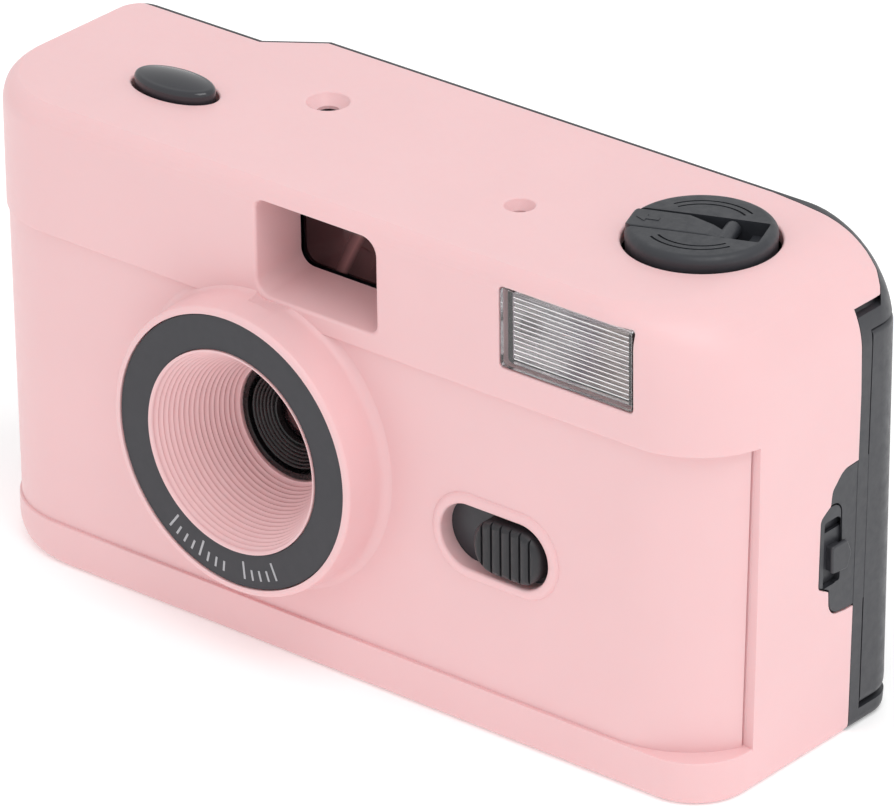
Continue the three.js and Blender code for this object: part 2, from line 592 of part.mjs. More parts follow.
// Rewind: knob, folding crank with its pin, and the forked shaft that turns the cassette.
const turned = (body) => body.rotate([0, 0, CRANK.angle]).translate([KNOB.x, KNOB.y, 0]);
const rodAcross = (u, z, half, radius) => rodY(u, z, -half, half, radius, 16);
function rewindKnob() {
  const half = CRANK.width / 2 + GAP;
  const body = turnedZ(KNOB.x, KNOB.y, [
    [0, KNOB.low], [KNOB.radius, KNOB.low], [KNOB.radius, KNOB.top - 1], [KNOB.radius - 0.4, KNOB.top - 0.3],
    [KNOB.radius - 1, KNOB.top], [0, KNOB.top],
  ]);
  return cut(body,
    turned(block(-FAR, 1, -half, half, CRANK.floor - GAP, FAR)),
    turned(block(0, CRANK.cavityEnd, -half, half, CRANK.floor - GAP, FAR)),
    turned(rodAcross(CRANK.pivot, CRANK.pivotZ, 3.4, 0.75)));
}
add('rewind_knob', rewindKnob(), blackPlastic());
add('rewind_crank', turned(cut(
  join(
    block(-8.3, 0.8, -CRANK.width / 2, CRANK.width / 2, CRANK.floor, KNOB.top - 0.05),
    block(CRANK.tip, -8, -CRANK.width / 2, CRANK.width / 2, HEIGHT + GAP, KNOB.top - 0.05),
    rodAcross(CRANK.pivot, CRANK.pivotZ, CRANK.width / 2, 1),
    block(0, CRANK.pivot, -CRANK.width / 2, CRANK.width / 2, CRANK.floor + 0.4, CRANK.pivotZ + 0.5),
  ),
  rodAcross(CRANK.pivot, CRANK.pivotZ, 5, 0.55),
)), blackPlastic());
add('rewind_crank_pin', turned(rodAcross(CRANK.pivot, CRANK.pivotZ, 3.2, 0.4)), steel());
add('rewind_fork_shaft', cut(
  join(rodZ(KNOB.x, KNOB.y, 44.5, 56.5, 2.3), rodZ(KNOB.x, KNOB.y, 50.1, 51.3, 3.6)),
  block(KNOB.x - 0.9, KNOB.x + 0.9, 10, 30, 44, 46.6),
), blackPlastic());

// Film advance: thumb wheel, take-up spool, sprocket and frame counter.
add('film_advance_wheel', join(
  prismZ(gearShape(SPOOL.x, SPOOL.y, WHEEL.radius - 0.6, WHEEL.radius, WHEEL.teeth), WHEEL.low, WHEEL.high),
  rodZ(SPOOL.x, SPOOL.y, 47.4, WHEEL.low + 1, 2.2),
), blackPlastic());
add('take_up_spool', join(
  rodZ(SPOOL.x, SPOOL.y, 6.8, 47.1, SPOOL.radius),
  rodZ(SPOOL.x, SPOOL.y, 6.8, 8, 8.8, 24),
  rodZ(SPOOL.x, SPOOL.y, 45.9, 47.1, 8.8, 24),
), blackPlastic());
const sprocketRing = (z) =>
  prismZ(gearShape(SPROCKET.x, SPROCKET.y, SPROCKET.radius, SPROCKET.tip, SPROCKET.teeth), z, z + 1.5);
add('sprocket_shaft', join(
  rodZ(SPROCKET.x, SPROCKET.y, 4.6, 48.4, 1.5, 16),
  rodZ(SPROCKET.x, SPROCKET.y, 9, 44, 3.6),
  rodZ(SPROCKET.x, SPROCKET.y, 9, 14, SPROCKET.radius - 0.2),
  rodZ(SPROCKET.x, SPROCKET.y, 39, 44, SPROCKET.radius - 0.2),
  sprocketRing(11),
  sprocketRing(41),
), blackPlastic());
add('frame_counter_disc', rodZ(COUNTER.x, COUNTER.y, 2.4, 3.4, COUNTER.radius, 32), dialWhite());
add('frame_counter_window', rodZ(COUNTER.x, COUNTER.y - 5.5, 0.3, 1.5, 2.4), clearPlastic());
add('rewind_release_button', join(
  rodZ(SPROCKET.x, SPROCKET.y, 0.3, 1.9, 2.1),
  rodZ(SPROCKET.x, SPROCKET.y, 1.8, 2.4, 2.9),
), blackPlastic());

// Back door with its hinge pin, pressure plate and leaf spring, and the side latch.
function backDoor() {
  const slab = bodyBlock.intersect(block(-FAR, FAR, -FAR, FAR, DOOR.low, DOOR.high));
  const innerSide = RIGHT - RIGHT_TAPER - WALL;
  const inside = ahead(DOOR.plate).intersect(prismZ(polygon([
    [-FAR, -FAR], [innerSide, -FAR], [innerSide, 31.2], [innerSide - 3, DEPTH], [-FAR, DEPTH],
  ]), -FAR, FAR));
  const tray = cut(slab, ahead(DOOR_SHIFT), inside, block(-FAR, -49, -FAR, FAR, -FAR, FAR));
  const knuckle = join(
    rodZ(HINGE.x, HINGE.y, 8.8, 45.4, HINGE.knuckle),
    block(HINGE.x, -48.8, THIN_BACK - DOOR.plate, HINGE.y + HINGE.knuckle - 0.05, 8.8, 45.4),
  );
  return cut(join(tray, knuckle), rodZ(HINGE.x, HINGE.y, 0, FAR, HINGE.hole));
}
add('back_door', backDoor(), blackPlastic());
add('door_hinge_pin', rodZ(HINGE.x, HINGE.y, DOOR.low, DOOR.high, HINGE.pin, 16), steel());
add('pressure_plate', block(-18.2, 14, 30.1, 30.8, 12, 43), steel());
add('pressure_spring', join(
  block(-12, 8, 33.1, 33.6, 25, 29),
  block(-14, -11, 32.3, 33.4, 25, 29),
  block(7, 10, 32.3, 33.4, 25, 29),
), steel());
add('door_latch', join(
  block(RIGHT - 1.45, RIGHT - 0.9, LATCH.y0 + 0.8, 28.1, LATCH.z0 + 3.4, LATCH.z1 - 3),
  block(RIGHT - 1.45, RIGHT, LATCH.y0 + 0.9, LATCH.y1 - 0.5, LATCH.z0 + 3, LATCH.z1 - 4.6),
), blackPlastic());

// Battery door in the base and the two contacts.
add('battery_door', join(
  block(-BATTERY.x, BATTERY.x, BATTERY.y0 - 0.2, BATTERY.y1 + 0.2, 0.1, 1.5),
  block(-BATTERY.x + 1, BATTERY.x - 6, BATTERY.y0 + 0.4, BATTERY.y1 - 0.4, 1.4, 2.1),
), pinkPlastic());
add('battery_contact_positive', block(BATTERY.x - 1, BATTERY.x - 0.4, 6.5, 12.5, 3, 12.2), steel());
add('battery_contact_negative', join(
  block(-BATTERY.x + 0.4, -BATTERY.x + 1, 6, 13, 3, 12.2),
  rodX(9.4, 7.6, -BATTERY.x + 0.9, -BATTERY.x + 2.6, 1.6),
), steel());

// Screws through the shell into the chassis posts.
for (const [side, x, y] of TOP_SCREWS) {
  add(`top_screw_${side}`, join(rodZ(x, y, 56.1, 57.1, 1.6, 20), rodZ(x, y, 51.5, 56.2, 0.85, 12)), steel());
}
for (const [side, x, y] of BASE_SCREWS) {
  add(`base_screw_${side}`, join(rodZ(x, y, 1.6, 2.6, 1.7, 20), rodZ(x, y, 2.5, 7.4, 0.85, 12)), steel());
}

// ---------------------------------------------------------------- assembly
const camera = new THREE.Group();
camera.add(...pieces);
camera.position.set(-(RIGHT - LEFT) / 2, -(DEPTH - BOSS_REACH) / 2, 0);

export default camera;
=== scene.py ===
"""Looks of a half frame film camera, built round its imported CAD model.

Shapes are drawn in millimetres with x = 0 in the middle of the body, y = 0 on the front face of the
top and bottom bands and z = 0 on the base. finish_piece() then moves them into the frame, in metres.
"""

import json
import math

import bmesh
import bpy
import numpy as np
from mathutils import Matrix, Vector


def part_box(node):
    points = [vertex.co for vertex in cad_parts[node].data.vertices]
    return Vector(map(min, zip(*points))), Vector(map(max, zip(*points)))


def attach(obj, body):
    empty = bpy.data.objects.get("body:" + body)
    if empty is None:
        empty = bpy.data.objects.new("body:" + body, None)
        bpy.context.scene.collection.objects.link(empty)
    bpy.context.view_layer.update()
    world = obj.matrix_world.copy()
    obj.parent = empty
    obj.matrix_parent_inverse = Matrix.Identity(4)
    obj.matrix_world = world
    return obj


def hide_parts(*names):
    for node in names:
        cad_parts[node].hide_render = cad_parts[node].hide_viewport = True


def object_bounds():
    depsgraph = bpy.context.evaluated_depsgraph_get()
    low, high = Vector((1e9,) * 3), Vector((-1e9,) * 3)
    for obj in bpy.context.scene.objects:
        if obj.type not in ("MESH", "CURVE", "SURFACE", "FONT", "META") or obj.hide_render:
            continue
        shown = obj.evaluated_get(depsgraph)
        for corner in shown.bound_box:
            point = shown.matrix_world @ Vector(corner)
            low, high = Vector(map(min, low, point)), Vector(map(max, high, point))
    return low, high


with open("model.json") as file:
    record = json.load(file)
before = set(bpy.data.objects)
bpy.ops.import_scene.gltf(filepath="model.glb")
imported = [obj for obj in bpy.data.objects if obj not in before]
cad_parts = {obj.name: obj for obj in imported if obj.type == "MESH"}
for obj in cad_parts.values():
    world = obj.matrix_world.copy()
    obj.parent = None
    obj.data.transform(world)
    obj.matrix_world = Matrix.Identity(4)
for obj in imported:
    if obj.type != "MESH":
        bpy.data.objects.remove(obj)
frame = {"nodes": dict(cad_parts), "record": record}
CAD_LOW, CAD_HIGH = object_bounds()

# ---------------------------------------------------------------- sizes, in millimetres
MM = 0.001
FAR = 90.0
BOSS_REACH = 5.6
LEFT = 55.0
START = np.array((CAD_LOW.x / MM + LEFT, CAD_LOW.y / MM + BOSS_REACH, 0.0))
RIGHT = CAD_HIGH.x / MM - START[0]
DEPTH = CAD_HIGH.y / MM - START[1]


def local_box(node):
    """Lowest and highest corner of a CAD node, in the millimetres that the shapes are drawn in."""
    low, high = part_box(node)
    return np.array(low) / MM - START, np.array(high) / MM - START


def middle(node):
    low, high = local_box(node)
    return (low + high) / 2


HEIGHT = local_box("front_shell")[1][2]
WALL = 1.6
RECESS = 0.5
BAND_TOP = 43.2
BAND_BOTTOM = 5.4
GROOVE_Y = 8.3
RIGHT_TAPER = 1.3
LEFT_SIDE, LEFT_TAPER, LEFT_RECESS = 54.65, 0.35, 0.1
THIN_BACK = DEPTH - 4.7
THIN_END_X = -34.4
STEP_END_X = -27.8
SHELL_BACK_SHIFT = 9.6
SHELL_TOP_EDGE = (
    (38.0, 0.7), (42.0, 1.1), (47.5, 1.9), (50.0, 2.1),
    (52.6, 2.45), (54.4, 3.0), (55.75, 4.1), (57.5, 6.3),
)
SHELL_NOTCH_Z = 53.3
SEAM = 0.12
DOOR_LOW, DOOR_HIGH = 2.4, 50.2
DOOR_SHIFT, DOOR_GAP = 7.5, 0.2
DOOR_LEFT = -49.0
DOOR_PLATE = 1.6
HINGE_X, HINGE_Y = -51.6, 28.9

LENS = middle("lens_ring")
KNOB = middle("rewind_fork_shaft")
BUTTON = middle("shutter_button")
SWITCH = middle("flash_switch_plate")
SLIDER_LOW, SLIDER_HIGH = local_box("flash_switch_slider")
FLASH_LOW, FLASH_HIGH = local_box("flash_window")
FINDER_LOW, FINDER_HIGH = local_box("viewfinder_front_lens")
SCREWS = [middle("top_screw_left"), middle("top_screw_right")]
BASE_SCREWS = [middle("base_screw_left"), middle("base_screw_right")]
SWITCH_HOLE = (15.6, 8.0)
LIP_WIDTH = 1.45
KNOB_HOLE, KNOB_RADIUS = 9.05, 8.6
BUTTON_PLAN = (BUTTON[0] - 0.3, BUTTON[1] + 0.7)
BUTTON_HOLE = (6.1, 3.45)
STEM_X = -31.5
CRANK_ANGLE = math.radians(21.5)
CRANK_PIN_X, CRANK_PIN_Z, CRANK_HALF, CRANK_TIP = KNOB[0] + 3.0, 59.6, 2.2, KNOB[0] - 8.5
WHEEL_SLOT_LOW, WHEEL_SLOT_HIGH = 50.7, 55.2

# ---------------------------------------------------------------- mesh helpers


def new_piece(name, points, faces):
    """A mesh object with its doubled corners merged and its faces pointing out."""
    mesh = bpy.data.meshes.new(name)
    mesh.from_pydata([tuple(map(float, point)) for point in points], [], faces)
    work = bmesh.new()
    work.from_mesh(mesh)
    bmesh.ops.remove_doubles(work, verts=work.verts, dist=1e-5)
    bmesh.ops.recalc_face_normals(work, faces=work.faces)
    work.to_mesh(mesh)
    work.free()
    piece = bpy.data.objects.new(name, mesh)
    bpy.context.scene.collection.objects.link(piece)
    return piece


def skin(name, rings, wrap=False):
    """Joins a stack of closed rings, all with the same number of points, into one closed body."""
    count = len(rings[0])
    faces = []
    for level in range(len(rings) if wrap else len(rings) - 1):
        here, there = level * count, (level + 1) % len(rings) * count
        for i in range(count):
            j = (i + 1) % count
            faces.append((here + i, here + j, there + j, there + i))
    if not wrap:
        faces.append(tuple(range(count)))
        faces.append(tuple(range((len(rings) - 1) * count, len(rings) * count)))
    return new_piece(name, np.vstack(rings), faces)


def turn(name, profile, centre, axis, sides=96):
    """A closed profile of (radius, height) points turned about the line through centre along axis."""
    points, faces = [], []
    count = len(profile)
    for side in range(sides):
        angle = 2 * math.pi * side / sides
        across, along = math.cos(angle), math.sin(angle)
        for radius, height in profile:
            if axis == "Y":
                points.append((centre[0] + radius * across, height, centre[2] + radius * along))
            else:
                points.append((centre[0] + radius * across, centre[1] + radius * along, height))
    for side in range(sides):
        here, there = side * count, (side + 1) % sides * count
        for i in range(count):
            j = (i + 1) % count
            if profile[i][0] > 1e-6 or profile[j][0] > 1e-6:
                faces.append((here + i, here + j, there + j, there + i))
    return new_piece(name, points, faces)


def rod(name, spot, radius, low, high, sides=48):
    """An upright round bar, or the space for one."""
    return turn(name, [(0, low), (radius, low), (radius, high), (0, high)], spot, "Z", sides)


def rounded(corners, step=0.3):
    """A closed outline from (u, v, radius) corners, each corner with a radius turned into an arc."""
    outline = []
    for i, (u, v, radius) in enumerate(corners):
        here = np.array((u, v), float)
        if radius <= 0:
            outline.append(here)
            continue
        back = np.array(corners[i - 1][:2], float) - here
        on = np.array(corners[(i + 1) % len(corners)][:2], float) - here
        back, on = back / np.linalg.norm(back), on / np.linalg.norm(on)
        half = math.acos(float(np.clip(back @ on, -1, 1))) / 2
        centre = here + (back + on) / np.linalg.norm(back + on) * radius / math.sin(half)
        start = here + back * radius / math.tan(half) - centre
        end = here + on * radius / math.tan(half) - centre
        sweep = math.atan2(start[0] * end[1] - start[1] * end[0], start @ end)
        steps = max(4, math.ceil(abs(sweep) * radius / step))
        first = math.atan2(start[1], start[0])
        for k in range(steps + 1):
            angle = first + sweep * k / steps
            outline.append(centre + radius * np.array((math.cos(angle), math.sin(angle))))
    return np.array(outline)


def offset(outline, distance):
    """Moves a closed outline outwards by distance, or inwards if it is negative."""
    edge = np.roll(outline, -1, axis=0) - outline
    length = np.linalg.norm(edge, axis=1, keepdims=True)
    normal = np.column_stack((edge[:, 1], -edge[:, 0])) / np.maximum(length, 1e-9)
    area = np.sum(outline[:, 0] * np.roll(outline[:, 1], -1) - outline[:, 1] * np.roll(outline[:, 0], -1))
    if area < 0:
        normal = -normal
    before = np.roll(normal, 1, axis=0)
    shared = 1 + np.sum(before * normal, axis=1, keepdims=True)
    return outline + distance * (before + normal) / np.maximum(shared, 0.2)


def placed(outline, height, axis):
    """Puts an outline into space: plan outlines along Z, front views along Y and side views along X."""
    level = np.full(len(outline), height)
    columns = {
        "Z": (outline[:, 0], outline[:, 1], level),
        "Y": (outline[:, 0], level, outline[:, 1]),
        "X": (level, outline[:, 0], outline[:, 1]),
    }
    return np.column_stack(columns[axis])


EDGE_STEPS = 5


def quarter(steps):
    """Pairs of 1 - cos and 1 - sin through a quarter turn, for rounded edges."""
    turns = [math.pi / 2 * k / steps for k in range(steps + 1)]
    return [(1 - math.cos(turned), 1 - math.sin(turned)) for turned in turns]


def plate(name, outline, axis, low, high, low_edge=0.0, high_edge=0.0, low_over=0.0, high_over=0.0):
    """An outline drawn out along axis. A positive edge is a rounded edge; a negative one flares, so
    that a hole cut with it has a rounded rim. low_over and high_over carry a flare past the surface."""
    levels = []
    if low_over:
        levels.append((low - low_over, low_edge))
    for along_edge, inward in quarter(EDGE_STEPS) if low_edge else [(0, 0)]:
        levels.append((low + abs(low_edge) * along_edge, low_edge * inward))
    for along_edge, inward in reversed(quarter(EDGE_STEPS) if high_edge else [(0, 0)]):
        levels.append((high - abs(high_edge) * along_edge, high_edge * inward))
    if high_over:
        levels.append((high + high_over, high_edge))
    return skin(name, [placed(offset(outline, -inset), height, axis) for height, inset in levels])


def block(x0, x1, y0, y1, z0, z1):
    outline = np.array(((x0, y0), (x1, y0), (x1, y1), (x0, y1)), float)
    return plate("block", outline, "Z", z0, z1)


def rectangle(u0, u1, v0, v1, radii):
    """A rectangle whose corner radii go round from the low left one."""
    low_left, low_right, high_right, high_left = radii
    return rounded(((u0, v0, low_left), (u1, v0, low_right), (u1, v1, high_right), (u0, v1, high_left)))


def stadium(u, v, length, height):
    radius = height / 2 - 0.001
    return rectangle(u - length / 2, u + length / 2, v - height / 2, v + height / 2, (radius,) * 4)


def ellipse(u, v, a, b, sides=96):
    turned = np.linspace(0, 2 * math.pi, sides, endpoint=False)
    return np.column_stack((u + a * np.cos(turned), v + b * np.sin(turned)))


def ticks(name, centre, marks, half_width, axis, low, high):
    """Straight bars that point at centre. marks holds (angle, inner radius, outer radius)."""
    points, faces = [], []
    for angle, inner, outer in marks:
        out = np.array((math.cos(angle), math.sin(angle)))
        across = np.array((-out[1], out[0])) * half_width
        base = len(points)
        for radius in (inner, outer):
            for side in (-1, 1):
                spot = np.array([centre + out * radius + across * side])
                points += [placed(spot, height, axis)[0] for height in (low, high)]
        faces += [tuple(base + i for i in face) for face in BAR_FACES]
    return new_piece(name, points, faces)


BAR_FACES = ((0, 4, 6, 2), (1, 3, 7, 5), (0, 1, 5, 4), (2, 6, 7, 3), (0, 2, 3, 1), (4, 5, 7, 6))


def printed_on(parent, piece, material):
    """Puts printed marks in the frame, on the piece that carries them."""
    piece.data.transform(TO_FRAME)
    piece.data.materials.append(material)
    piece.parent = parent


def bake(piece):
    """Replaces a piece's mesh by what its modifiers make of it."""
    graph = bpy.context.evaluated_depsgraph_get()
    mesh = bpy.data.meshes.new_from_object(piece.evaluated_get(graph))
    piece.modifiers.clear()
    spent = piece.data
    piece.data = mesh
    bpy.data.meshes.remove(spent)


def combine(piece, tools, operation):
    for tool in tools:
        modifier = piece.modifiers.new("combine", "BOOLEAN")
        modifier.operation = operation
        modifier.solver = "MANIFOLD"
        modifier.object = tool
        bake(piece)
        bpy.data.objects.remove(tool)
    return piece


def cut(piece, *tools):
    return combine(piece, tools, "DIFFERENCE")


def join(piece, *tools):
    return combine(piece, tools, "UNION")


def common(piece, *tools):
    return combine(piece, tools, "INTERSECT")


def turned_about(piece, centre, angle):
    """Turns a piece about the upright line through centre."""
    spot = Vector((centre[0], centre[1], 0))
    there, home = Matrix.Translation(spot), Matrix.Translation(-spot)
    piece.data.transform(there @ Matrix.Rotation(angle, 4, "Z") @ home)
    return piece


def cad_copy(node):
    """A CAD node's mesh in millimetres, as a piece that can be cut and joined."""
    mesh = frame["nodes"][node].data.copy()
    mesh.transform(Matrix.Translation(-Vector(START)) @ Matrix.Scale(1 / MM, 4))
    points = [tuple(vertex.co) for vertex in mesh.vertices]
    faces = [tuple(face.vertices) for face in mesh.polygons]
    return new_piece(node + "_copy", points, faces)


TO_FRAME = Matrix.Scale(MM, 4) @ Matrix.Translation(Vector(START))
RECORD = frame["record"]
SLOT_OF = {entry["node"]: entry["material_slot"] for entry in RECORD["subparts"]}
BODY_OF = {node: body for body, nodes in RECORD["behaviour"]["bodies"].items() for node in nodes}


def finish_piece(piece, node, material=None, sharp=30, bevel=0.0):
    """Moves a finished shape into the frame, smooths its shading and puts it in its CAD node's place."""
    piece.data.transform(TO_FRAME)
    if bevel:
        soften(piece, bevel * MM)
    piece.data.shade_smooth()
    piece.data.set_sharp_from_angle(angle=math.radians(sharp))
    even = piece.modifiers.new("even_normals", "WEIGHTED_NORMAL")
    even.keep_sharp = True
    piece.data.materials.clear()
    piece.data.materials.append(material or MATERIALS[SLOT_OF[node]])
    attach(piece, BODY_OF[node])
    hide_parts(node)
    return piece


def soften(piece, width, segments=3):
    """Rounds a piece's hard edges."""
    modifier = piece.modifiers.new("soft_edges", "BEVEL")
    modifier.width = width
    modifier.segments = segments
    modifier.limit_method = "ANGLE"
    modifier.angle_limit = math.radians(40)
    modifier.use_clamp_overlap = True
    bake(piece)


# ---------------------------------------------------------------- materials


def new_material(name):
    material = bpy.data.materials.new(name)
    material.use_nodes = True
    tree = material.node_tree
    return material, tree, tree.nodes["Principled BSDF"]


def set_sockets(node, **values):
    """Sets a node's input sockets by name, with _ in place of each space."""
    for name, value in values.items():
        node.inputs[name.replace("_", " ")].default_value = value


def add_node(tree, kind, **values):
    """A node with its input sockets set by name."""
    node = tree.nodes.new(kind)
    set_sockets(node, **values)
    return node


def object_noise(tree, scale, detail=3.0, rough=0.6):
    """Noise in the object's own space, so that it stays on the surface. scale is in features a metre."""
    place = tree.nodes.new("ShaderNodeTexCoord")
    noise = add_node(tree, "ShaderNodeTexNoise", Scale=scale, Detail=detail, Roughness=rough)
    tree.links.new(place.outputs["Object"], noise.inputs["Vector"])
    return noise.outputs["Fac"]


def spread(tree, source, low, high):
    """Maps a noise value's middle range to low..high."""
    node = add_node(tree, "ShaderNodeMapRange", From_Min=0.3, From_Max=0.7, To_Min=low, To_Max=high)
    tree.links.new(source, node.inputs["Value"])
    return node.outputs["Result"]


def vary_colour(tree, shader, colour, amount, scale):
    """The base colour drifts a little lighter and darker over the surface."""
    dark = [channel * (1 - amount) for channel in colour]
    light = [min(1, channel * (1 + amount)) for channel in colour]
    drift = colour_ramp(tree, object_noise(tree, scale), ((0.3, dark), (0.7, light)))
    tree.links.new(drift, shader.inputs["Base Color"])


def grain(tree, shader, scale, depth):
    """A fine moulded grain, depth in metres."""
    bump = add_node(tree, "ShaderNodeBump", Strength=1.0, Distance=depth)
    tree.links.new(object_noise(tree, scale, 4.0, 0.55), bump.inputs["Height"])
    tree.links.new(bump.outputs["Normal"], shader.inputs["Normal"])


def plastic(name, colour, roughness, variation=0.03, grain_scale=2600, grain_depth=4e-6, sheen=0.5):
    """Moulded plastic: a little colour drift, uneven gloss and a fine grain."""
    material, tree, shader = new_material(name)
    vary_colour(tree, shader, colour, variation, 60)
    low, high = roughness
    tree.links.new(spread(tree, object_noise(tree, 900), low, high), shader.inputs["Roughness"])
    grain(tree, shader, grain_scale, grain_depth)
    shader.inputs["Specular IOR Level"].default_value = sheen
    return material


def pink_plastic():
    """Pale pink body plastic: satin, and a little translucent at its edges."""
    material = plastic("pink_plastic", (0.841, 0.543, 0.554), (0.34, 0.46), 0.012, 2200, 3e-6, 0.42)
    shader = material.node_tree.nodes["Principled BSDF"]
    set_sockets(shader, Subsurface_Weight=0.18, Subsurface_Radius=(1.0, 0.45, 0.4), Subsurface_Scale=0.0012)
    return material


def metal(name, colour, roughness, stretch=1.0):
    """Plated steel with drawn, slightly uneven gloss."""
    material, tree, shader = new_material(name)
    vary_colour(tree, shader, colour, 0.06, 300)
    tree.links.new(spread(tree, object_noise(tree, 1500 * stretch), *roughness), shader.inputs["Roughness"])
    grain(tree, shader, 4000, 2e-6)
    shader.inputs["Metallic"].default_value = 1.0
    return material


def glass(name, colour, roughness, transmission, ior=1.49):
    material, tree, shader = new_material(name)
    vary_colour(tree, shader, colour, 0.03, 200)
    tree.links.new(spread(tree, object_noise(tree, 700), *roughness), shader.inputs["Roughness"])
    set_sockets(shader, Transmission_Weight=transmission, IOR=ior)
    return material


WARM_TINT = (1.0, 0.62, 0.62, 1)


def coated_glass():
    """Dark optical plastic with a warm anti-reflection coat."""
    material, tree, shader = new_material("coated_optics")
    vary_colour(tree, shader, (0.012, 0.007, 0.008), 0.5, 120)
    tree.links.new(spread(tree, object_noise(tree, 400), 0.04, 0.09), shader.inputs["Roughness"])
    set_sockets(shader, Specular_IOR_Level=0.8, Specular_Tint=WARM_TINT)
    set_sockets(shader, Coat_Weight=0.5, Coat_Roughness=0.03, Coat_Tint=(1.0, 0.8, 0.82, 1))
    return material


def along(tree, direction, low, high):
    """0 to 1 between two distances, in millimetres of the drawing, measured along a direction."""
    place = tree.nodes.new("ShaderNodeTexCoord")
    measure = tree.nodes.new("ShaderNodeVectorMath")
    measure.operation = "DOT_PRODUCT"
    measure.inputs[1].default_value = direction
    moved = float(np.dot(direction, START))
    span = add_node(tree, "ShaderNodeMapRange", From_Min=(low + moved) * MM, From_Max=(high + moved) * MM)
    tree.links.new(place.outputs["Object"], measure.inputs[0])
    tree.links.new(measure.outputs["Value"], span.inputs["Value"])
    return span.outputs["Result"]


def colour_ramp(tree, source, stops):
    """Colours at given shares of a 0 to 1 value."""
    ramp = tree.nodes.new("ShaderNodeValToRGB")
    while len(ramp.color_ramp.elements) < len(stops):
        ramp.color_ramp.elements.new(0.5)
    for element, (share, colour) in zip(ramp.color_ramp.elements, stops):
        element.position = share
        element.color = (*colour, 1)
    tree.links.new(source, ramp.inputs["Fac"])
    return ramp.outputs["Color"]


def finder_glass_painted_streaks():
    """Dark window with a warm specular coat; slanting pale and brown streaks of reflected light are painted
    into its base colour.
    """
    material, tree, shader = new_material("finder_glass_painted_streaks")
    lean = 0.55
    low = FINDER_LOW[0] - lean * FINDER_HIGH[2]
    high = FINDER_HIGH[0] - lean * FINDER_LOW[2]
    # painted reflection: pale and brown bands slanting across the dark base colour
    dark, brown, pale = (0.006, 0.004, 0.005), (0.03, 0.014, 0.015), (0.15, 0.075, 0.075)
    shares = (0.0, 0.36, 0.45, 0.5, 0.54, 0.66, 0.85)
    stops = list(zip(shares, (dark, dark, brown, pale, dark, brown, dark)))
    painted_streak_colours = colour_ramp(tree, along(tree, (1.0, 0.0, -lean), low, high), stops)
    tree.links.new(painted_streak_colours, shader.inputs["Base Color"])
    tree.links.new(spread(tree, object_noise(tree, 400), 0.05, 0.1), shader.inputs["Roughness"])
    set_sockets(shader, Specular_IOR_Level=0.6, Specular_Tint=WARM_TINT)
    return material


def flash_metal_painted_reflections():
    """Reflector metal with painted reflections in its base colour: painted white at its left end, painted
    dark streaks in the middle and beige at its right end.
    """
    material, tree, shader = new_material("flash_metal_painted_reflections")
    white, mauve, beige = (0.98, 0.98, 0.98), (0.5, 0.43, 0.49), (0.82, 0.75, 0.70)
    # painted reflection along the trough: white towards the left end, mauve in the middle, beige at the
    # right end
    stops = ((0.0, mauve), (0.06, white), (0.36, white), (0.5, mauve), (0.64, beige), (1.0, beige))
    ends = colour_ramp(tree, along(tree, (1.0, 0.0, 0.0), FLASH_LOW[0], FLASH_HIGH[0]), stops)
    # painted dark streaks of reflection, stretched across the trough and multiplied into that colour
    place = tree.nodes.new("ShaderNodeTexCoord")
    stretch = add_node(tree, "ShaderNodeMapping", Scale=(180, 10, 900))
    noise = add_node(tree, "ShaderNodeTexNoise", Scale=1.0, Detail=2.0, Roughness=0.6)
    tree.links.new(place.outputs["Object"], stretch.inputs["Vector"])
    tree.links.new(stretch.outputs["Vector"], noise.inputs["Vector"])
    painted_reflection_streaks = colour_ramp(tree, noise.outputs["Fac"], ((0.42, (0.3, 0.26, 0.31)), (0.56, (1.0, 1.0, 1.0))))
    blend = tree.nodes.new("ShaderNodeMix")
    blend.data_type = "RGBA"
    blend.blend_type = "MULTIPLY"
    share, base, streak = (socket for socket in blend.inputs if socket.enabled)
    share.default_value = 0.6
    tree.links.new(ends, base)
    tree.links.new(painted_reflection_streaks, streak)
    result = next(socket for socket in blend.outputs if socket.enabled)
    tree.links.new(result, shader.inputs["Base Color"])
    tree.links.new(spread(tree, object_noise(tree, 900), 0.15, 0.3), shader.inputs["Roughness"])
    shader.inputs["Metallic"].default_value = 0.25
    return material


def board():
    """Green circuit board with faint copper tracks under its lacquer."""
    material, tree, shader = new_material("circuit_board")
    place = tree.nodes.new("ShaderNodeTexCoord")
    tracks = add_node(tree, "ShaderNodeTexBrick", Scale=260)
    set_sockets(tracks, Color1=(0.03, 0.2, 0.09, 1), Color2=(0.04, 0.24, 0.11, 1))
    set_sockets(tracks, Mortar=(0.10, 0.33, 0.14, 1))
    tree.links.new(place.outputs["Object"], tracks.inputs["Vector"])
    tree.links.new(tracks.outputs["Color"], shader.inputs["Base Color"])
    tree.links.new(spread(tree, object_noise(tree, 500), 0.25, 0.45), shader.inputs["Roughness"])
    return material


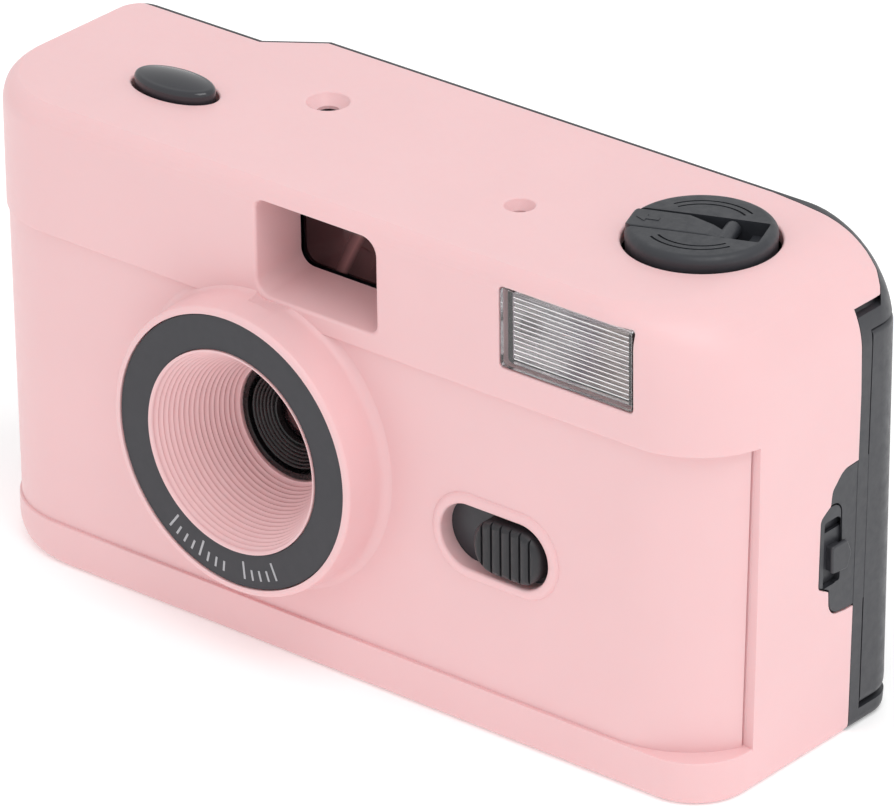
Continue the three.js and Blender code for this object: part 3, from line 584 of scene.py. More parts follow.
MATERIALS = {
    "pink_body": pink_plastic(),
    "black_body": plastic("black_plastic", (0.034, 0.035, 0.041), (0.34, 0.5), 0.08, 2600, 6e-6),
    "ring_black": plastic("ring_print", (0.050, 0.050, 0.056), (0.5, 0.6), 0.05, 5000, 2e-6, 0.3),
    "lens_black": plastic("lens_plastic", (0.008, 0.008, 0.009), (0.22, 0.34), 0.2, 3000, 2e-6),
    "switch_black": plastic("switch_plastic", (0.018, 0.018, 0.021), (0.4, 0.55), 0.1, 4000, 6e-6),
    "knob_black": plastic("knob_plastic", (0.026, 0.028, 0.034), (0.38, 0.55), 0.12, 3200, 1e-5),
    "gloss_black": plastic("gloss_plastic", (0.024, 0.025, 0.031), (0.1, 0.16), 0.05, 1500, 1e-6, 0.6),
    "clear_window": glass("clear_plastic", (0.96, 0.95, 0.96), (0.03, 0.07), 1.0),
    "coated_glass": coated_glass(),
    "reflector": metal("reflector_metal", (0.90, 0.90, 0.91), (0.08, 0.16)),
    "counter_white": plastic("dial_plastic", (0.80, 0.80, 0.77), (0.4, 0.5), 0.03),
    "board_green": board(),
    "lamp_orange": plastic("lamp_plastic", (0.75, 0.20, 0.03), (0.12, 0.2), 0.06),
    "steel": metal("plated_steel", (0.56, 0.57, 0.59), (0.25, 0.4)),
}

# ---------------------------------------------------------------- body form
TOP_FILLETS = {"left": 1.0, "right": 10.5, "front": 3.1, "back": 0.35}
TOP_CREASE = math.radians(22)
BASE_FILLETS = {"left": 3.0, "right": 1.1, "front": 1.1, "back": 1.6}
NO_FILLETS = {"left": 0.0, "right": 0.0, "front": 0.0, "back": 0.0}
FRONT_LEFT, REAR_LEFT = 12.6, 3.0
FRONT_RIGHT_LOW, FRONT_RIGHT_HIGH = 7.0, 11.0
REAR_RIGHT_LOW, REAR_RIGHT_HIGH = 4.4, 5.8
PANEL_RIGHT = 13.0
NEAR_POINTS, FAR_POINTS = 40, 14


def arc(centre, radius, start, end, steps):
    turned = np.linspace(start, end, steps + 1)
    return np.column_stack((centre[0] + radius * np.cos(turned), centre[1] + radius * np.sin(turned)))


def straight(start, end, steps):
    """Points strictly between start and end."""
    shares = np.linspace(0, 1, steps + 2)[1:-1, None]
    return np.array(start) * (1 - shares) + np.array(end) * shares


def evenly(line, count):
    """count + 1 points spaced evenly along an open line."""
    length = np.concatenate(([0], np.cumsum(np.linalg.norm(np.diff(line, axis=0), axis=1))))
    wanted = np.linspace(0, length[-1], count + 1)
    return np.column_stack([np.interp(wanted, length, line[:, k]) for k in (0, 1)])


def split_at(line, y):
    """Parts an open line, which runs backwards, where it passes y."""
    after = int(np.argmax(line[:, 1] > y))
    share = (y - line[after - 1][1]) / (line[after][1] - line[after - 1][1])
    meeting = line[after - 1] * (1 - share) + line[after] * share
    return np.vstack((line[:after], [meeting])), np.vstack(([meeting], line[after:]))


def body_plan(height, inset, panel=False):
    """The body's outline at one height, each side moved in by its inset. With panel, the outline of
    the recessed middle, which comes back out to the body's side at the groove."""
    rise = min(1.0, height / BAND_TOP)
    side = RIGHT - RIGHT_TAPER * (1 - rise)
    left = -LEFT_SIDE + LEFT_TAPER * (1 - rise) + inset["left"]
    right = side - inset["right"]
    front, back = inset["front"], DEPTH - inset["back"]
    thin = THIN_BACK - inset["back"]
    half_turn = math.pi / 2
    shrink = min(inset["front"], inset["right"])
    near_radius = FRONT_RIGHT_LOW + (FRONT_RIGHT_HIGH - FRONT_RIGHT_LOW) * rise - shrink
    rear_radius = max(1.0, REAR_RIGHT_LOW + (REAR_RIGHT_HIGH - REAR_RIGHT_LOW) * rise - inset["back"])
    corner = (left + FRONT_LEFT, front + FRONT_LEFT)
    outer = np.vstack((
        arc((right - near_radius, front + near_radius), near_radius, -half_turn, 0, 64),
        [(right, back - rear_radius)],
    ))
    near, far = split_at(outer, GROOVE_Y)
    left_corner = arc(corner, FRONT_LEFT, math.pi, 3 * half_turn, 32)
    start = (left, thin - REAR_LEFT)
    if panel:
        centre = (side - PANEL_RIGHT - 0.1, RECESS + PANEL_RIGHT)
        stop = math.asin((GROOVE_Y - centre[1]) / PANEL_RIGHT)
        near = arc(centre, PANEL_RIGHT, -half_turn, stop, 64)
        radii = (FRONT_LEFT - LEFT_RECESS, FRONT_LEFT - RECESS)
        left_corner = arc((0, 0), 1.0, math.pi, 3 * half_turn, 32) * radii + corner
        start = (left + LEFT_RECESS, thin - REAR_LEFT)
    near, far = evenly(near, NEAR_POINTS), evenly(far, FAR_POINTS)
    rows = [
        [start],
        straight(start, left_corner[0], 8),
        left_corner,
        straight(left_corner[-1], near[0], 24),
        near,
        far,
        arc((right - rear_radius, back - rear_radius), rear_radius, 0, half_turn, 12)[1:],
        straight((right - rear_radius, back), (STEP_END_X, back), 16),
        [(STEP_END_X, back), (THIN_END_X, thin)],
        straight((THIN_END_X, thin), (left + REAR_LEFT, thin), 4),
        arc((left + REAR_LEFT, thin - REAR_LEFT), REAR_LEFT, half_turn, math.pi, 8)[:-1],
    ]
    return np.vstack(rows)


def fillet_inset(radius, depth, crease=0.0):
    """How far a rounded edge has come in at depth below the end face, which it meets at crease."""
    if depth >= radius * math.cos(crease):
        return 0.0
    return radius * (1 - math.sqrt(1 - (math.cos(crease) - depth / radius) ** 2))


def end_depths(fillets):
    """Depths below an end face at which its fillets are sampled."""
    depths = {0.0}
    for radius in fillets.values():
        steps = max(5, math.ceil(radius * 2.2))
        turns = [math.pi / 2 * k / steps for k in range(steps + 1)]
        depths |= {round(radius * (1 - math.cos(turned)), 3) for turned in turns}
    kept = []
    for depth in sorted(depths):
        if not kept or depth - kept[-1] > 0.012:
            kept.append(depth)
    return kept


def body_form(name, low, high, base, top, inset=0.0, bands=False):
    """The camera body between two heights, with rounded ends, and with the recessed middle if asked."""
    rings = []

    def level(height, panel=False, share=0.0):
        sides = {}
        for side in top:
            crease = TOP_CREASE if side == "front" else 0.0
            from_top = fillet_inset(top[side], high - height, crease)
            sides[side] = inset + max(from_top, fillet_inset(base[side], height - low))
        outline = body_plan(height, sides, panel)
        if share:
            target = body_plan(height, sides, True)
            way = target - outline
            length = np.linalg.norm(way, axis=1, keepdims=True)
            outline = outline + way / np.maximum(length, 1e-9) * np.minimum(share, length)
        rings.append(placed(outline, height, "Z"))

    for depth in end_depths(base):
        level(low + depth)
    if bands:
        soft, steps = 0.22, 3
        for along_edge, inward in quarter(steps):
            level(BAND_BOTTOM - soft * inward, share=soft * along_edge)
        level(BAND_BOTTOM, panel=True)
        for height in np.linspace(BAND_BOTTOM, BAND_TOP, 8)[1:-1]:
            level(height, panel=True)
        level(BAND_TOP, panel=True)
        for along_edge, inward in reversed(quarter(steps)):
            level(BAND_TOP + soft * inward, share=soft * along_edge)
    for depth in reversed(end_depths(top)):
        level(high - depth)
    return skin(name, rings)


def behind(shift, z0, z1, side_line=(), seam=0.0):
    """Everything behind the body's back outline moved forward by shift. side_line gives points of
    (x, shift) along which the line bends further forward towards the right side."""
    line = [(-FAR, THIN_BACK - shift), (THIN_END_X, THIN_BACK - shift), (STEP_END_X, DEPTH - shift)]
    line += [(x, DEPTH - further + seam) for x, further in side_line]
    line.append((FAR, DEPTH - (side_line[-1][1] - seam if side_line else shift)))
    outline = np.array([*line, (FAR, FAR), (-FAR, FAR)])
    return plate("behind", outline, "Z", z0, z1)


def ahead(shift, z0, z1, side_line=(), seam=0.0):
    everything = block(-FAR + 1, FAR - 1, -FAR, FAR - 1, z0, z1)
    return cut(everything, behind(shift, z0 - 1, z1 + 1, side_line, seam))


# ---------------------------------------------------------------- front shell
RING_OUTER, RING_INNER = 16.8, 12.6
LIP_OUTER, LIP_INNER = 12.52, 12.1
WELL_BACK_RADIUS, WELL_BACK_Y = 7.6, 4.6


def boss_profile():
    """Outside of the lens boss: near-cylindrical, flaring softly into the panel."""
    foot = 1.45
    flare = [
        (19.5 - foot * math.cos(t), -0.9 + foot * math.sin(t)) for t in np.linspace(0, math.pi / 2, 10)
    ]
    rim = rounded(((0, -BOSS_REACH, 0), (17.75, -BOSS_REACH, 0.55), (18.05, -0.95, 0)), 0.12)
    return [*map(tuple, rim), *flare[1:], (19.5, 1.8), (14.0, 1.8), (9.4, 6.0), (0, 6.0)]


def well_profile():
    """The tapering lens well with its fine ridges, as the space to be cut away."""
    ridges, depth, front = 17, 0.15, -5.25
    points = [(0, -8), (LIP_INNER + 0.35, -8), (LIP_INNER + 0.35, -5.6), (LIP_INNER + 0.08, -5.42)]
    for k in range(ridges * 6 + 1):
        share = k / (ridges * 6)
        radius = LIP_INNER + (WELL_BACK_RADIUS - LIP_INNER) * share
        bulge = abs(math.sin(math.pi * share * ridges)) ** 0.7
        points.append((radius + depth * bulge, front + (WELL_BACK_Y - front) * share))
    return [*points, (7.42, WELL_BACK_Y), (7.42, 7.5), (0, 7.5)]


def finder_funnel(grow, front_edge):
    """The viewfinder's funnel. Its floor rises and its sides close in a little towards the window."""
    depth, close, rise = 7.3, 0.5, 1.3
    x0, x1 = FINDER_LOW[0] - 0.6, FINDER_HIGH[0] + 0.6
    z0, z1 = 45.5, 57.2
    levels = [(-2.0, 0.0, front_edge), (0.0, 0.0, front_edge)] if front_edge else [(0.7, 0.0, 0.0)]
    for along_edge, inward in quarter(EDGE_STEPS)[1:] if front_edge else ():
        levels.append((front_edge * along_edge, 0.0, front_edge * inward))
    levels.append((depth + (0.2 if front_edge else 0.0), 1.0, 0.0))
    rings = []
    for y, share, flare in levels:
        side = grow + flare - close * share
        top = min(z1 + grow + flare - close * share, HEIGHT - 0.7)
        floor = z0 - grow - flare + rise * share
        outline = rectangle(x0 - side, x1 + side, floor, top, (2.0, 1.2, 2.2, 1.2))
        rings.append(placed(outline, y, "Y"))
    return skin("funnel", rings)


def screw_well(spot, outer, inner):
    """A soft cone sinking to a straight hole."""
    flare = 0.35
    profile = [(0, HEIGHT + 1), (outer + flare, HEIGHT + 1), (outer + flare, HEIGHT)]
    for k in range(1, 5):
        turned = math.pi / 2 * k / 4
        height = HEIGHT - flare * 0.5 * (1 - math.cos(turned))
        profile.append((outer + flare * (1 - math.sin(turned) * 0.9), height))
    profile += [(inner, HEIGHT - 1.2), (inner, 52), (0, 52)]
    return turn("well", profile, spot, "Z", 64)


def latch_outline(grow):
    """Side view of the black plate round the door latch."""
    outline = rounded(
        (
            (29.0, 34.95, 0), (23.4, 34.7, 2.2), (21.5, 32.7, 1.2), (21.3, 30.95, 0.3), (19.5, 29.8, 0.9),
            (19.5, 21.1, 0.6), (21.4, 20.1, 0.3), (21.6, 16.9, 1.9), (24.5, 16.5, 0.6), (29.0, 16.4, 0),
        )
    )
    return offset(outline, grow)


def groove_outline():
    """Front view of the thin gap at the foot of the groove, leaning with the body's side."""
    line = [(RIGHT - RIGHT_TAPER * (1 - z / BAND_TOP), z) for z in (BAND_BOTTOM + 0.1, BAND_TOP - 0.1)]
    return np.array([(x - 1.75, z) for x, z in line] + [(x - 0.95, z) for x, z in reversed(line)])


def switch_lip():
    """Rounded rim round the switch opening, standing a little out of the panel."""
    outline = stadium(SWITCH[0], SWITCH[2], *(size + 2 * LIP_WIDTH for size in SWITCH_HOLE))
    crest, edge = 0.05, 0.75
    levels = [(crest - 0.02, 1.3)]
    levels += [(crest + edge * along_edge, edge * inward) for along_edge, inward in quarter(EDGE_STEPS)]
    levels.append((1.4, 0.0))
    return skin("lip", [placed(offset(outline, -inset), y, "Y") for y, inset in levels])


def hollow_shell():
    """The body's skin with its inside taken out, open at the back."""
    shell = body_form("front_shell_skin", 0, HEIGHT, BASE_FILLETS, TOP_FILLETS, bands=True)
    end_fillets = {**NO_FILLETS, "right": 6.4}
    inner = body_form("hollow", WALL, HEIGHT - WALL, NO_FILLETS, end_fillets, inset=WALL + 0.6)
    left, right, front = -LEFT + 2.6, RIGHT - RIGHT_TAPER - 1.7, 2.1
    within = rounded(((left, 60, 0), (left, front, 10.5), (right, front, 11.3), (right, 60, 0)))
    common(inner, plate("within", within, "Z", -5, FAR))
    door_space = block(left, RIGHT - 3.5, 20, FAR, WALL, DOOR_HIGH - 0.2)
    top_space = block(-LEFT + 3.0, SHELL_TOP_EDGE[0][0], 27, FAR, DOOR_HIGH - 1.2, HEIGHT - WALL)
    return cut(shell, inner, door_space, top_space)


def front_shell():
    shell = hollow_shell()
    join(shell, turn("boss", boss_profile(), LENS, "Y", 160))
    near_skin = body_form("near_skin", 0.1, HEIGHT - 0.1, BASE_FILLETS, TOP_FILLETS, 0.1)
    join(shell, common(finder_funnel(1.0, 0.0), near_skin), switch_lip())
    play = 0.15
    flash = rectangle(
        FLASH_LOW[0] - play, FLASH_HIGH[0] + play, FLASH_LOW[2] - play, FLASH_HIGH[2] + play, (0.6,) * 4
    )
    seat_outer, seat_back = RING_OUTER + 0.12, -4.4
    ring_seat = ((LIP_OUTER, -8), (seat_outer, -8), (seat_outer, seat_back), (LIP_OUTER, seat_back))
    switch = stadium(SWITCH[0], SWITCH[2], *SWITCH_HOLE)
    rim = {"high_edge": -0.3, "high_over": 2}
    tools = [
        turn("ring_seat", ring_seat, LENS, "Y", 160),
        turn("well", well_profile(), LENS, "Y", 160),
        finder_funnel(0.0, 0.45),
        plate("flash", flash, "Y", 0, 8, low_edge=-0.2, low_over=2),
        plate("switch", switch, "Y", 0.0, 5, low_edge=-0.4, low_over=2),
        plate("knob", ellipse(*KNOB[:2], KNOB_HOLE, KNOB_HOLE, 160), "Z", 50, HEIGHT, **rim),
        plate("button", ellipse(*BUTTON_PLAN, *BUTTON_HOLE), "Z", 50, HEIGHT, **rim),
        screw_well(SCREWS[0], 2.5, 1.35),
        screw_well(SCREWS[1], 1.75, 1.05),
        plate("battery", rectangle(-24.8, 30.4, 3.9, 14.9, (1.0,) * 4), "Z", -1, 3),
        rod("counter", middle("frame_counter_window"), 2.6, -1, 3),
        rod("release", middle("rewind_release_button"), 2.4, -1, 3),
        plate("latch", latch_outline(SEAM), "X", RIGHT - 4, RIGHT + 2),
        plate("groove", groove_outline(), "Y", GROOVE_Y - 0.33, GROOVE_Y - 0.03),
        behind(SHELL_BACK_SHIFT, -5, SHELL_NOTCH_Z),
        behind(SHELL_TOP_EDGE[0][1], SHELL_NOTCH_Z - 0.5, FAR, SHELL_TOP_EDGE),
    ]
    tools += [rod("base_screw", spot, 2.1, -1, 3) for spot in BASE_SCREWS]
    cut(shell, *tools)
    return finish_piece(shell, "front_shell")


# ---------------------------------------------------------------- chassis and door


def chassis_rim():
    """The black band round the back, between the pink shell and the door."""
    rim = body_form("rim", 0, HEIGHT, {**BASE_FILLETS, "back": 2.4}, TOP_FILLETS)
    cut(
        rim,
        ahead(SHELL_BACK_SHIFT - SEAM, -9, SHELL_NOTCH_Z - SEAM),
        ahead(SHELL_TOP_EDGE[0][1] - SEAM, SHELL_NOTCH_Z - 1, FAR - 2, SHELL_TOP_EDGE, SEAM),
        behind(DOOR_SHIFT + DOOR_GAP, DOOR_LOW - DOOR_GAP, DOOR_HIGH + DOOR_GAP),
        block(-LEFT + 2.6, RIGHT - 3.3, -FAR, FAR, 5, DOOR_HIGH),
        block(-FAR, DOOR_LEFT - 0.3, HINGE_Y - 2.1, FAR, DOOR_LOW - 0.3, DOOR_HIGH + 0.3),
        rod("wheel_space", middle("take_up_spool"), 11.5, WHEEL_SLOT_LOW, WHEEL_SLOT_HIGH, 64),
        block(-51.6, -32.5, 24.5, FAR, WHEEL_SLOT_LOW, WHEEL_SLOT_HIGH),
        block(-6, 6, 30, FAR, 50.9, 56.2),
        rod("counter_space", middle("frame_counter_disc"), 8.3, 2.1, 3.7, 64),
    )
    return rim


def main_chassis():
    """The black inner body. Its outside is redrawn smoothly; its inside is the CAD model's."""
    core = body_form("core", 0.7, HEIGHT - 0.7, BASE_FILLETS, TOP_FILLETS, inset=0.7)
    chassis = common(cad_copy("main_chassis"), core)
    cut(chassis, behind(DOOR_SHIFT + DOOR_GAP, DOOR_LOW - DOOR_GAP, 5))
    join(chassis, chassis_rim())
    face = body_form("face", 0, HEIGHT, BASE_FILLETS, TOP_FILLETS, inset=0.03)
    join(chassis, common(plate("latch_plate", latch_outline(-SEAM), "X", RIGHT - 3.6, RIGHT + 1), face))
    parting = rounded(
        (
            (18.0, 30.9, 0), (21.4, 31.0, 0.3), (23.4, 30.9, 1.6), (23.6, 26.7, 0), (23.5, 22.2, 0.4),
            (22.6, 20.7, 0.5), (18.0, 20.7, 0),
        ),
        0.2,
    )
    line = plate("line", parting, "X", RIGHT - 1.3, RIGHT + 1)
    cut(line, plate("inside", offset(parting, -0.22), "X", RIGHT - 2, RIGHT + 2))
    latch_low, latch_high = local_box("door_latch")
    floor = latch_low[0] - 0.12
    travel_room = latch_high[2] + 3.2
    hollow = plate("hollow", rectangle(20.3, 23.4, 20.8, 29.1, (0.3, 0.3, 0.9, 0.3)), "X", floor, RIGHT + 1)
    pocket = block(floor, latch_low[0] + 0.6, 20.3, 28.4, latch_low[2] - 0.2, travel_room)
    cut(chassis, line, hollow, pocket)
    chassis.name = "main_chassis_body"
    return finish_piece(chassis, "main_chassis", sharp=28)


def back_door():
    edges = {"left": 0.4, "right": 0.6, "front": 0.0, "back": 1.0}
    low_edges = {**edges, "right": 1.2, "back": 2.0}
    door = body_form("back_door_shell", DOOR_LOW, DOOR_HIGH, low_edges, edges)
    wall = RIGHT - RIGHT_TAPER - 1.5
    inside = np.array(((-FAR, -FAR), (wall, -FAR), (wall, 31.2), (wall - 3, DEPTH), (-FAR, DEPTH)))
    tray = cut(plate("tray", inside, "Z", -5, FAR - 2), behind(DOOR_PLATE, -9, FAR))
    cut(door, ahead(DOOR_SHIFT, -9, FAR - 2), tray, block(-FAR, DOOR_LEFT, -FAR, FAR, -9, FAR))
    hinge = (HINGE_X, HINGE_Y, 0)
    knuckle_low, knuckle_high = 8.8, 45.4
    knuckle = rod("knuckle", hinge, 1.6, knuckle_low, knuckle_high, 40)
    arm = block(HINGE_X, DOOR_LEFT + 0.2, THIN_BACK - DOOR_PLATE, HINGE_Y + 1.55, knuckle_low, knuckle_high)
    join(door, join(knuckle, arm))
    cut(door, rod("bore", hinge, 1.15, 0, FAR, 40))
    return finish_piece(door, "back_door", sharp=28)


# ---------------------------------------------------------------- lens


def lens_ring():
    """The flat black trim ring, with plain graduation marks printed on its lower half."""
    front, back = -5.42, -4.6
    edge = 0.08
    corners = (
        (RING_INNER, front, edge), (RING_OUTER, front, edge), (RING_OUTER, back, 0), (RING_INNER, back, 0)
    )
    ring = finish_piece(turn("lens_trim_ring", rounded(corners, 0.05), LENS, "Y", 192), "lens_ring")
    inner, outer, pitch, short_by = 13.6, 15.8, 4.6, 0.9
    marks = []
    for start, count in ((-128, 8), (-84, 5)):
        for i in range(count):
            reach = inner + (short_by if i % 4 else 0)
            marks.append((math.radians(start + pitch * i), reach, outer))
    scale = ticks("lens_ring_marks", LENS[[0, 2]], marks, 0.14, "Y", front - 0.03, front + 0.2)
    printed_on(ring, scale, plastic("mark_print", (0.42, 0.42, 0.44), (0.5, 0.6), 0.1))
    return ring


def lens_barrel():
    """Stepped black barrel: flat collar, deep groove, fine rings and the mount of the glass."""
    profile = [(7.28, 8.8), (7.28, 4.95), (7.2, 4.85), (6.72, 4.85), (6.6, 5.0), (6.55, 6.3), (6.2, 6.3)]
    profile.append((6.15, 5.3))
    rings = 6
    for k in range(rings * 6 + 1):
        share = k / (rings * 6)
        wave = 0.16 * abs(math.sin(math.pi * share * rings)) ** 0.6
        profile.append((6.1 - 2.2 * share, 5.25 + 1.3 * share - wave))
    profile += [(3.75, 6.5), (3.6, 6.35), (3.45, 6.45), (3.3, 7.4), (3.3, 8.8)]
    return finish_piece(turn("lens_barrel_body", profile, LENS, "Y", 160), "lens_barrel")


def lens_glass():
    front, rim, back, radius = 6.75, 7.35, 8.6, 3.2
    profile = [(0, back), (radius, back), (radius, rim)]
    for k in range(1, 13):
        angle = math.pi / 2 * k / 12
        profile.append((radius * math.cos(angle), rim - (rim - front) * math.sin(angle)))
    return finish_piece(turn("lens_front_glass", profile, LENS, "Y", 96), "front_lens_element")


# ---------------------------------------------------------------- viewfinder and flash


def finder_window():
    """The dark window at the end of the funnel, bulging a little."""
    corner, back, middle_y, bulge = 1.8, 8.5, 7.75, 0.3
    outline = rectangle(FINDER_LOW[0], FINDER_HIGH[0], FINDER_LOW[2], FINDER_HIGH[2], (corner,) * 4)
    centre = outline.mean(axis=0)
    rings = [placed(outline, back, "Y")]
    steps = 12
    for k in range(steps):
        share = k / steps
        scaled = centre + (outline - centre) * (1 - (0.02 + share * 4.8) / 5.0)
        rings.append(placed(scaled, middle_y - bulge * math.sin(math.pi / 2 * share), "Y"))
    return finish_piece(skin("finder_front_window", rings), "viewfinder_front_lens", finder_glass_painted_streaks())


def flash_window():
    """Clear cover with horizontal lens ribs on its inner face between two plain strips."""
    x0, x1, z0, z1 = FLASH_LOW[0], FLASH_HIGH[0], FLASH_LOW[2], FLASH_HIGH[2]
    cover = plate("flash_cover", rectangle(x0, x1, z0, z1, (0.5,) * 4), "Y", 0.1, 1.2, low_edge=0.15)
    ribs = 15
    side = [(1.0, z0 + 0.5)]
    pitch = (z1 - z0 - 1.0) / ribs
    for k in range(ribs * 6 + 1):
        share = k / 6
        side.append((1.5 + 0.15 * abs(math.sin(math.pi * share)) ** 0.8, z0 + 0.5 + pitch * share))
    side.append((1.0, z1 - 0.5))
    ribbed = plate("ribs", np.array(side), "X", x0 + 1.5, x1 - 0.9)
    join(cover, ribbed)
    return finish_piece(cover, "flash_window", sharp=50)


def flash_reflector():
    """Polished trough behind the tube, with sloping ends."""
    clear, front, back = 0.45, 2.3, 6.2
    x0, x1 = FLASH_LOW[0] + clear, FLASH_HIGH[0] - clear
    z0, z1 = FLASH_LOW[2] + clear, FLASH_HIGH[2] - clear
    outer = block(x0, x1, front, back, z0, z1)
    mid, half = (z0 + z1) / 2, (z1 - z0) / 2 - 0.25
    rings = []
    for k in range(15):
        share = k / 14
        depth = 3.5 * share
        reach = half * math.sqrt(1 - share * 0.94)
        ends = 0.5 + 2.2 * share
        outline = rectangle(x0 + ends, x1 - ends, mid - reach, mid + reach, (0.3,) * 4)
        rings.append(placed(outline, front + depth, "Y"))
    mouth = rectangle(x0 + 0.5, x1 - 0.5, mid - half, mid + half, (0.3,) * 4)
    rings.insert(0, placed(mouth, front - 0.3, "Y"))
    cut(outer, skin("trough", rings))
    outer.name = "flash_reflector_trough"
    return finish_piece(outer, "flash_reflector", flash_metal_painted_reflections(), sharp=40)


# ---------------------------------------------------------------- switch


def switch_plate():
    """The dark plate behind the switch opening, with a raised bolt mark."""
    low, high = local_box("flash_switch_plate")
    front = 2.25
    outline = rectangle(low[0], high[0], low[2], high[2], (0.5,) * 4)
    base = plate("switch_back_plate", outline, "Y", front, high[1])
    bolt = np.array(((0.55, 1.7), (-1.0, -0.25), (-0.1, -0.15), (-0.5, -1.7), (1.05, 0.3), (0.15, 0.2)))
    raised = bolt * 0.75 + np.array((SWITCH[0] - 2.2, SWITCH[2] + 2.6))
    join(base, plate("bolt", raised, "Y", front - 0.15, front + 0.3))
    return finish_piece(base, "flash_switch_plate", sharp=30)


def switch_slider():
    """The rounded cap of the switch, with upright grip ribs."""
    x0, x1 = SLIDER_LOW[0], SLIDER_HIGH[0]
    z0, z1 = SLIDER_LOW[2], SLIDER_HIGH[2]
    front, back = SLIDER_LOW[1] - 0.1, SLIDER_HIGH[1]
    body = plate("switch_cap", rectangle(x0, x1, z0, z1, (2.9,) * 4), "Y", front, back, low_edge=0.9)
    ribs = 7
    pitch = (x1 - x0) / ribs
    comb = [(x0 - 1, back + 1), (x0 - 1, front + 0.2)]
    for i in range(ribs):
        start = x0 + pitch * i
        for share, dip in ((0.0, 0.75), (0.1, 0.2), (0.25, 0.03), (0.5, 0.0), (0.75, 0.03), (0.9, 0.2)):
            comb.append((start + pitch * share, front + dip))
    comb += [(x1, front + 0.75), (x1 + 1, front + 0.2), (x1 + 1, back + 1)]
    common(body, plate("comb", np.array(comb), "Z", z0 - 1, z1 + 1))
    return finish_piece(body, "flash_switch_slider", sharp=35)


# ---------------------------------------------------------------- top controls


def shutter_button():
    """An oval, slightly domed button on a short stem."""
    low, high = local_box("shutter_button")
    a, b = (high[0] - low[0]) / 2 - 0.3, 3.1
    top, crown, edge = high[2], 0.45, 0.65
    rings = [placed(ellipse(*BUTTON_PLAN, a, b), 56.8, "Z")]
    shoulder = top - crown - edge
    for k in range(9):
        turned = math.pi / 2 * k / 8
        inset = edge * (1 - math.cos(turned))
        height = shoulder + edge * math.sin(turned)
        rings.append(placed(ellipse(*BUTTON_PLAN, a - inset, b - inset), height, "Z"))
    for k in range(1, 13):
        share = k / 12.5
        outline = ellipse(*BUTTON_PLAN, (a - edge) * (1 - share), (b - edge) * (1 - share))
        rings.append(placed(outline, top - crown * (1 - share) ** 2, "Z"))
    button = skin("shutter_button_cap", rings)
    stem = (STEM_X, middle("shutter_release_lever")[1] + 0.2, 0)
    join(button, rod("stem", stem, 1.1, 54.9, 57.2, 32))
    return finish_piece(button, "shutter_button", sharp=50)


def beside_knob(piece):
    return turned_about(piece, KNOB, CRANK_ANGLE)


def rewind_knob():
    """The knob: a slot for the crank with a cavity and steps at its pin end, and double arcs on top."""
    low, high = local_box("rewind_knob")
    top = high[2]
    corners = (
        (0, low[2], 0), (KNOB_RADIUS - 0.1, low[2], 0.2), (KNOB_RADIUS, top - 1.0, 0),
        (KNOB_RADIUS, top, 0.95), (0, top + 0.05, 0),
    )
    knob = turn("rewind_knob_body", rounded(corners, 0.12), KNOB, "Z", 160)
    half, floor = 2.5, 58.0
    x, y = KNOB[0], KNOB[1]
    cavity = rectangle(x - 1, x + 7.3, y - half, y + half, (0, 0.3, 0.3, 0))
    pin_hole = ellipse(CRANK_PIN_X, CRANK_PIN_Z, 0.75, 0.75, 24)
    tools = [
        beside_knob(block(x - 20, x + 1, y - half, y + half, floor, 70)),
        beside_knob(plate("cavity", cavity, "Z", floor, 70)),
        beside_knob(plate("pin_hole", pin_hole, "Y", y - 3.4, y + 3.4)),
    ]
    span, width = math.radians(46), 0.28
    for side, inner in ((-1, 5.3), (1, 5.3), (-1, 6.2), (1, 6.2)):
        groove = []
        for radius, order in ((inner, 1), (inner + width, -1)):
            for k in range(21)[::order]:
                angle = side * math.pi / 2 - span + 2 * span * k / 20
                groove.append((x + radius * math.cos(angle), y + radius * math.sin(angle)))
        tools.append(beside_knob(plate("groove", np.array(groove), "Z", top - 0.25, top + 1)))
    cut(knob, *tools)
    wall = y + half + 0.2
    join(
        knob,
        beside_knob(block(x + 0.6, x + 2.3, y + 1.2, wall, floor - 0.2, floor + 1.2)),
        beside_knob(block(x + 5.2, x + 7.5, y + 0.4, wall, floor - 0.2, floor + 0.9)),
    )
    return finish_piece(knob, "rewind_knob", sharp=35)


def rewind_crank():
    """The folding crank: a bar with a raised arrow, tapering to the knuckle round its pin."""
    x, y = KNOB[0], KNOB[1]
    low, high = y - CRANK_HALF, y + CRANK_HALF
    side = rounded(
        (
            (CRANK_TIP, 58.45, 0.25), (x + 3.0, 58.75, 0.3), (x + 3.95, 59.6, 0.8),
            (x + 2.8, 60.35, 0.3), (x + 1.3, 60.62, 0.4), (CRANK_TIP, 60.62, 0.55),
        ),
        0.12,
    )
    bar = plate("rewind_crank_bar", side, "Y", low, high, low_edge=0.18, high_edge=0.18)
    common(bar, plate("tip", rectangle(CRANK_TIP, x + 5, low, high, (1.1, 0, 0, 1.1)), "Z", 50, 70))
    spare = ((x - 2.2, high), (x + 2.7, y - 0.3), (x + 8, y - 0.3), (x + 8, y + 4), (x - 2.2, y + 4))
    cut(bar, plate("waist", np.array(spare), "Z", 50, 70))
    knuckle = ellipse(CRANK_PIN_X, CRANK_PIN_Z, 0.95, 0.95, 32)
    join(bar, plate("knuckle", knuckle, "Y", low, high, 0.1, 0.1))
    cut(bar, plate("hole", ellipse(CRANK_PIN_X, CRANK_PIN_Z, 0.55, 0.55, 24), "Y", y - 5, y + 5))
    half_arrow = ((-6.4, 0.9), (-6.4, 0.35), (-4.9, 0.35))
    arrow = [(-7.6, 0.0), *half_arrow, *((u, -v) for u, v in reversed(half_arrow))]
    join(bar, plate("arrow", np.array(arrow) + KNOB[:2], "Z", 60.4, 60.69))
    return finish_piece(beside_knob(bar), "rewind_crank", sharp=35)


# ---------------------------------------------------------------- latch, screws and small parts


